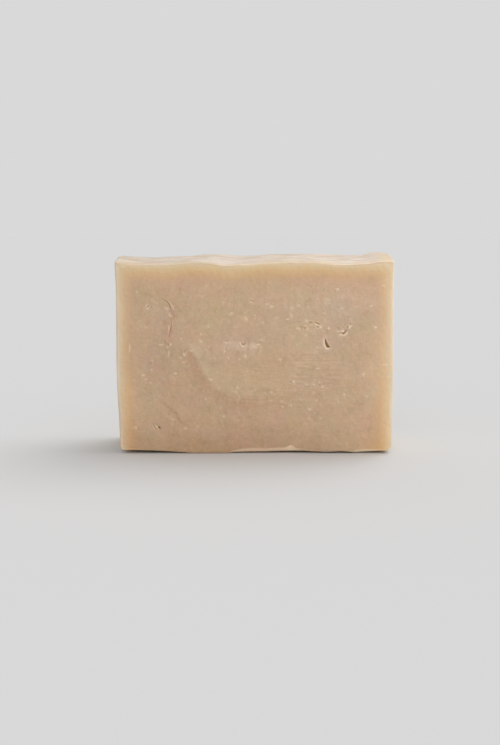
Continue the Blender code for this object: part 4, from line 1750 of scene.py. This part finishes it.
        # Painted shadow: the large specks, moved, darken the soap beside each speck.
        shade = sheet.specks(*self.large_specks, self.speck_shade)
        crust = sheet.reading("crust")
        colour = sheet.cover(colour, (
            (sheet.calc("MULTIPLY", shade, 0.30), self.deep),
            (sheet.calc("MULTIPLY", specks, 0.46), self.fleck),
            (crust, self.topping(sheet)),
            # The pale reading: torn soap, with painted highlight on lips and painted light on the foot's
            # facet.
            (sheet.reading("pale"), self.torn),
        ))
        tints = (("light", self.lighter), ("rosy", self.rosier), ("golden", self.goldener))
        colour = sheet.tinted(colour, tints)
        crust_roughness = sheet.calc("MULTIPLY", crust, self.crust_roughness)
        sheet.fill(sheet.shader, {
            # Painted shade, partly deeper soap: the dark reading mixes the hollow tone into cracks, pits,
            # dents and the pocket.
            "Base Color": sheet.mix(sheet.reading("dark"), colour, self.hollow),
            "Roughness": sheet.calc("ADD", sheet.noise(self.roughness), crust_roughness),
            "Normal": self.relief(sheet, specks, crust, chatter),
            "Subsurface Weight": self.subsurface,
            "Subsurface Scale": self.subsurface_scale,
            "Subsurface Radius": self.subsurface_radius,
            "Specular IOR Level": self.gloss,
        })
        return sheet.material


@dataclass(frozen=True)
class Studio:
    """A plain pale floor under a soft sky of light, a soft key box on the bar, and the camera.

    Angles are in degrees, the lens is in millimetres and the key box's power in watts. The overhead light
    falls on the floor only, and the backdrop is what the camera sees behind the floor's end.
    """

    floor_radius: float = 8.0
    floor_turns: int = 64
    floor_rings: int = 12
    floor_tone: float = 0.750
    sky: float = 0.60
    backdrop: float = 0.694
    overhead: float = 1.2
    overhead_from: Triple = (0.45, 0.30, 0.84)
    overhead_softness: float = 50.0
    key: float = 0.62
    key_place: Triple = (0.20, -0.15, 0.25)
    key_size: float = 0.12
    camera_place: Triple = (-0.001665, -0.3217, 0.0708)
    camera_tilt: float = 8.28
    focal_length: float = 48.32
    sensor: float = 36.0
    clip: tuple[float, float] = (0.01, 50.0)

    def floor(self) -> Object:
        """Lays the floor: a round plate of rings whose radius grows with the square of their number.

        Returns:
            The floor.
        """
        turns = np.linspace(0, 2 * math.pi, self.floor_turns, endpoint=False)
        radii = self.floor_radius * np.linspace(0.05, 1, self.floor_rings) ** 2
        x, y = (np.outer(radii, wave(turns)).ravel() for wave in (np.cos, np.sin))
        rings = np.arange(len(x)).reshape(self.floor_rings, self.floor_turns)
        mesh = bpy.data.meshes.new("studio_floor")
        faces = [rings[0].tolist(), *between(rings).tolist()]
        mesh.from_pydata(np.stack((x, y, 0 * x), 1).tolist(), [], faces)
        plate = placed("studio_floor", mesh)
        sheet = FinishSheet("studio_floor")
        tone = (self.floor_tone, self.floor_tone, self.floor_tone)
        sheet.fill(sheet.shader, {"Base Color": tone, "Roughness": 1.0, "Specular IOR Level": 0.0})
        mesh.materials.append(sheet.material)
        return plate

    def light(self, bar: Object, plate: Object) -> None:
        """Hangs the soft sky and both lamps. The camera sees the sky in the floor's own tone.

        Args:
            bar: What the key box lights.
            plate: The floor, which the light from above falls on.
        """
        world = bpy.data.worlds.new("studio")
        bpy.context.scene.world = world
        sheet = NodeSheet(world)
        seen = sheet.add("LightPath", {}).outputs["Is Camera Ray"]
        strength = sheet.add("MapRange", {"Value": seen, "To Min": self.sky, "To Max": self.backdrop})
        white = (1.0, 1.0, 1.0)
        sheet.fill(sheet.nodes["Background"], {"Color": white, "Strength": strength.outputs["Result"]})
        above = self.lamp("overhead", "SUN", self.overhead, plate, self.overhead_from)
        above.data.angle = math.radians(self.overhead_softness)
        box = self.lamp("key_box", "AREA", self.key, bar, self.key_place)
        box.data.size = self.key_size
        box.location = self.key_place

    def lamp(self, name: str, kind: str, power: float, lit: Object, source: Triple) -> Object:
        """Adds a lamp that lights one piece, stays out of the picture and looks back at the middle.

        Args:
            name: The lamp's name.
            kind: Its kind.
            power: Its power, or its strength if it is far away.
            lit: The piece.
            source: The direction that it stands in.

        Returns:
            The lamp.
        """
        lamp = bpy.data.lights.new(name, kind)
        lamp.energy = power
        made = placed(name, lamp)
        made.visible_camera = False
        across, back, up = source
        tilt, turn = math.atan2(math.hypot(across, back), up), math.atan2(back, across) + math.pi / 2
        made.rotation_euler = (tilt, 0, turn)
        group = bpy.data.collections.new(name + "_lights")
        group.objects.link(lit)
        made.light_linking.receiver_collection = group
        return made

    def camera(self) -> None:
        """Sets up the camera."""
        lens = bpy.data.cameras.new("camera")
        lens.sensor_width = self.sensor
        lens.lens = self.focal_length
        lens.clip_start, lens.clip_end = self.clip
        eye = placed("camera", lens)
        eye.location = self.camera_place
        eye.rotation_euler = (math.radians(90 - self.camera_tilt), 0, 0)
        bpy.context.scene.camera = eye
        bpy.context.scene.view_settings.view_transform = "Standard"


def main() -> None:
    """Builds the bar and the studio."""
    logging.basicConfig(level=logging.INFO, format="%(message)s")
    studio = Studio()
    studio.camera()
    bar = SoapBar().build()
    logging.info("%s: %d points, %d faces", bar.name, len(bar.data.vertices), len(bar.data.polygons))
    studio.light(bar, studio.floor())
    logging.info("sizes written")


if __name__ == "__main__":
    main()
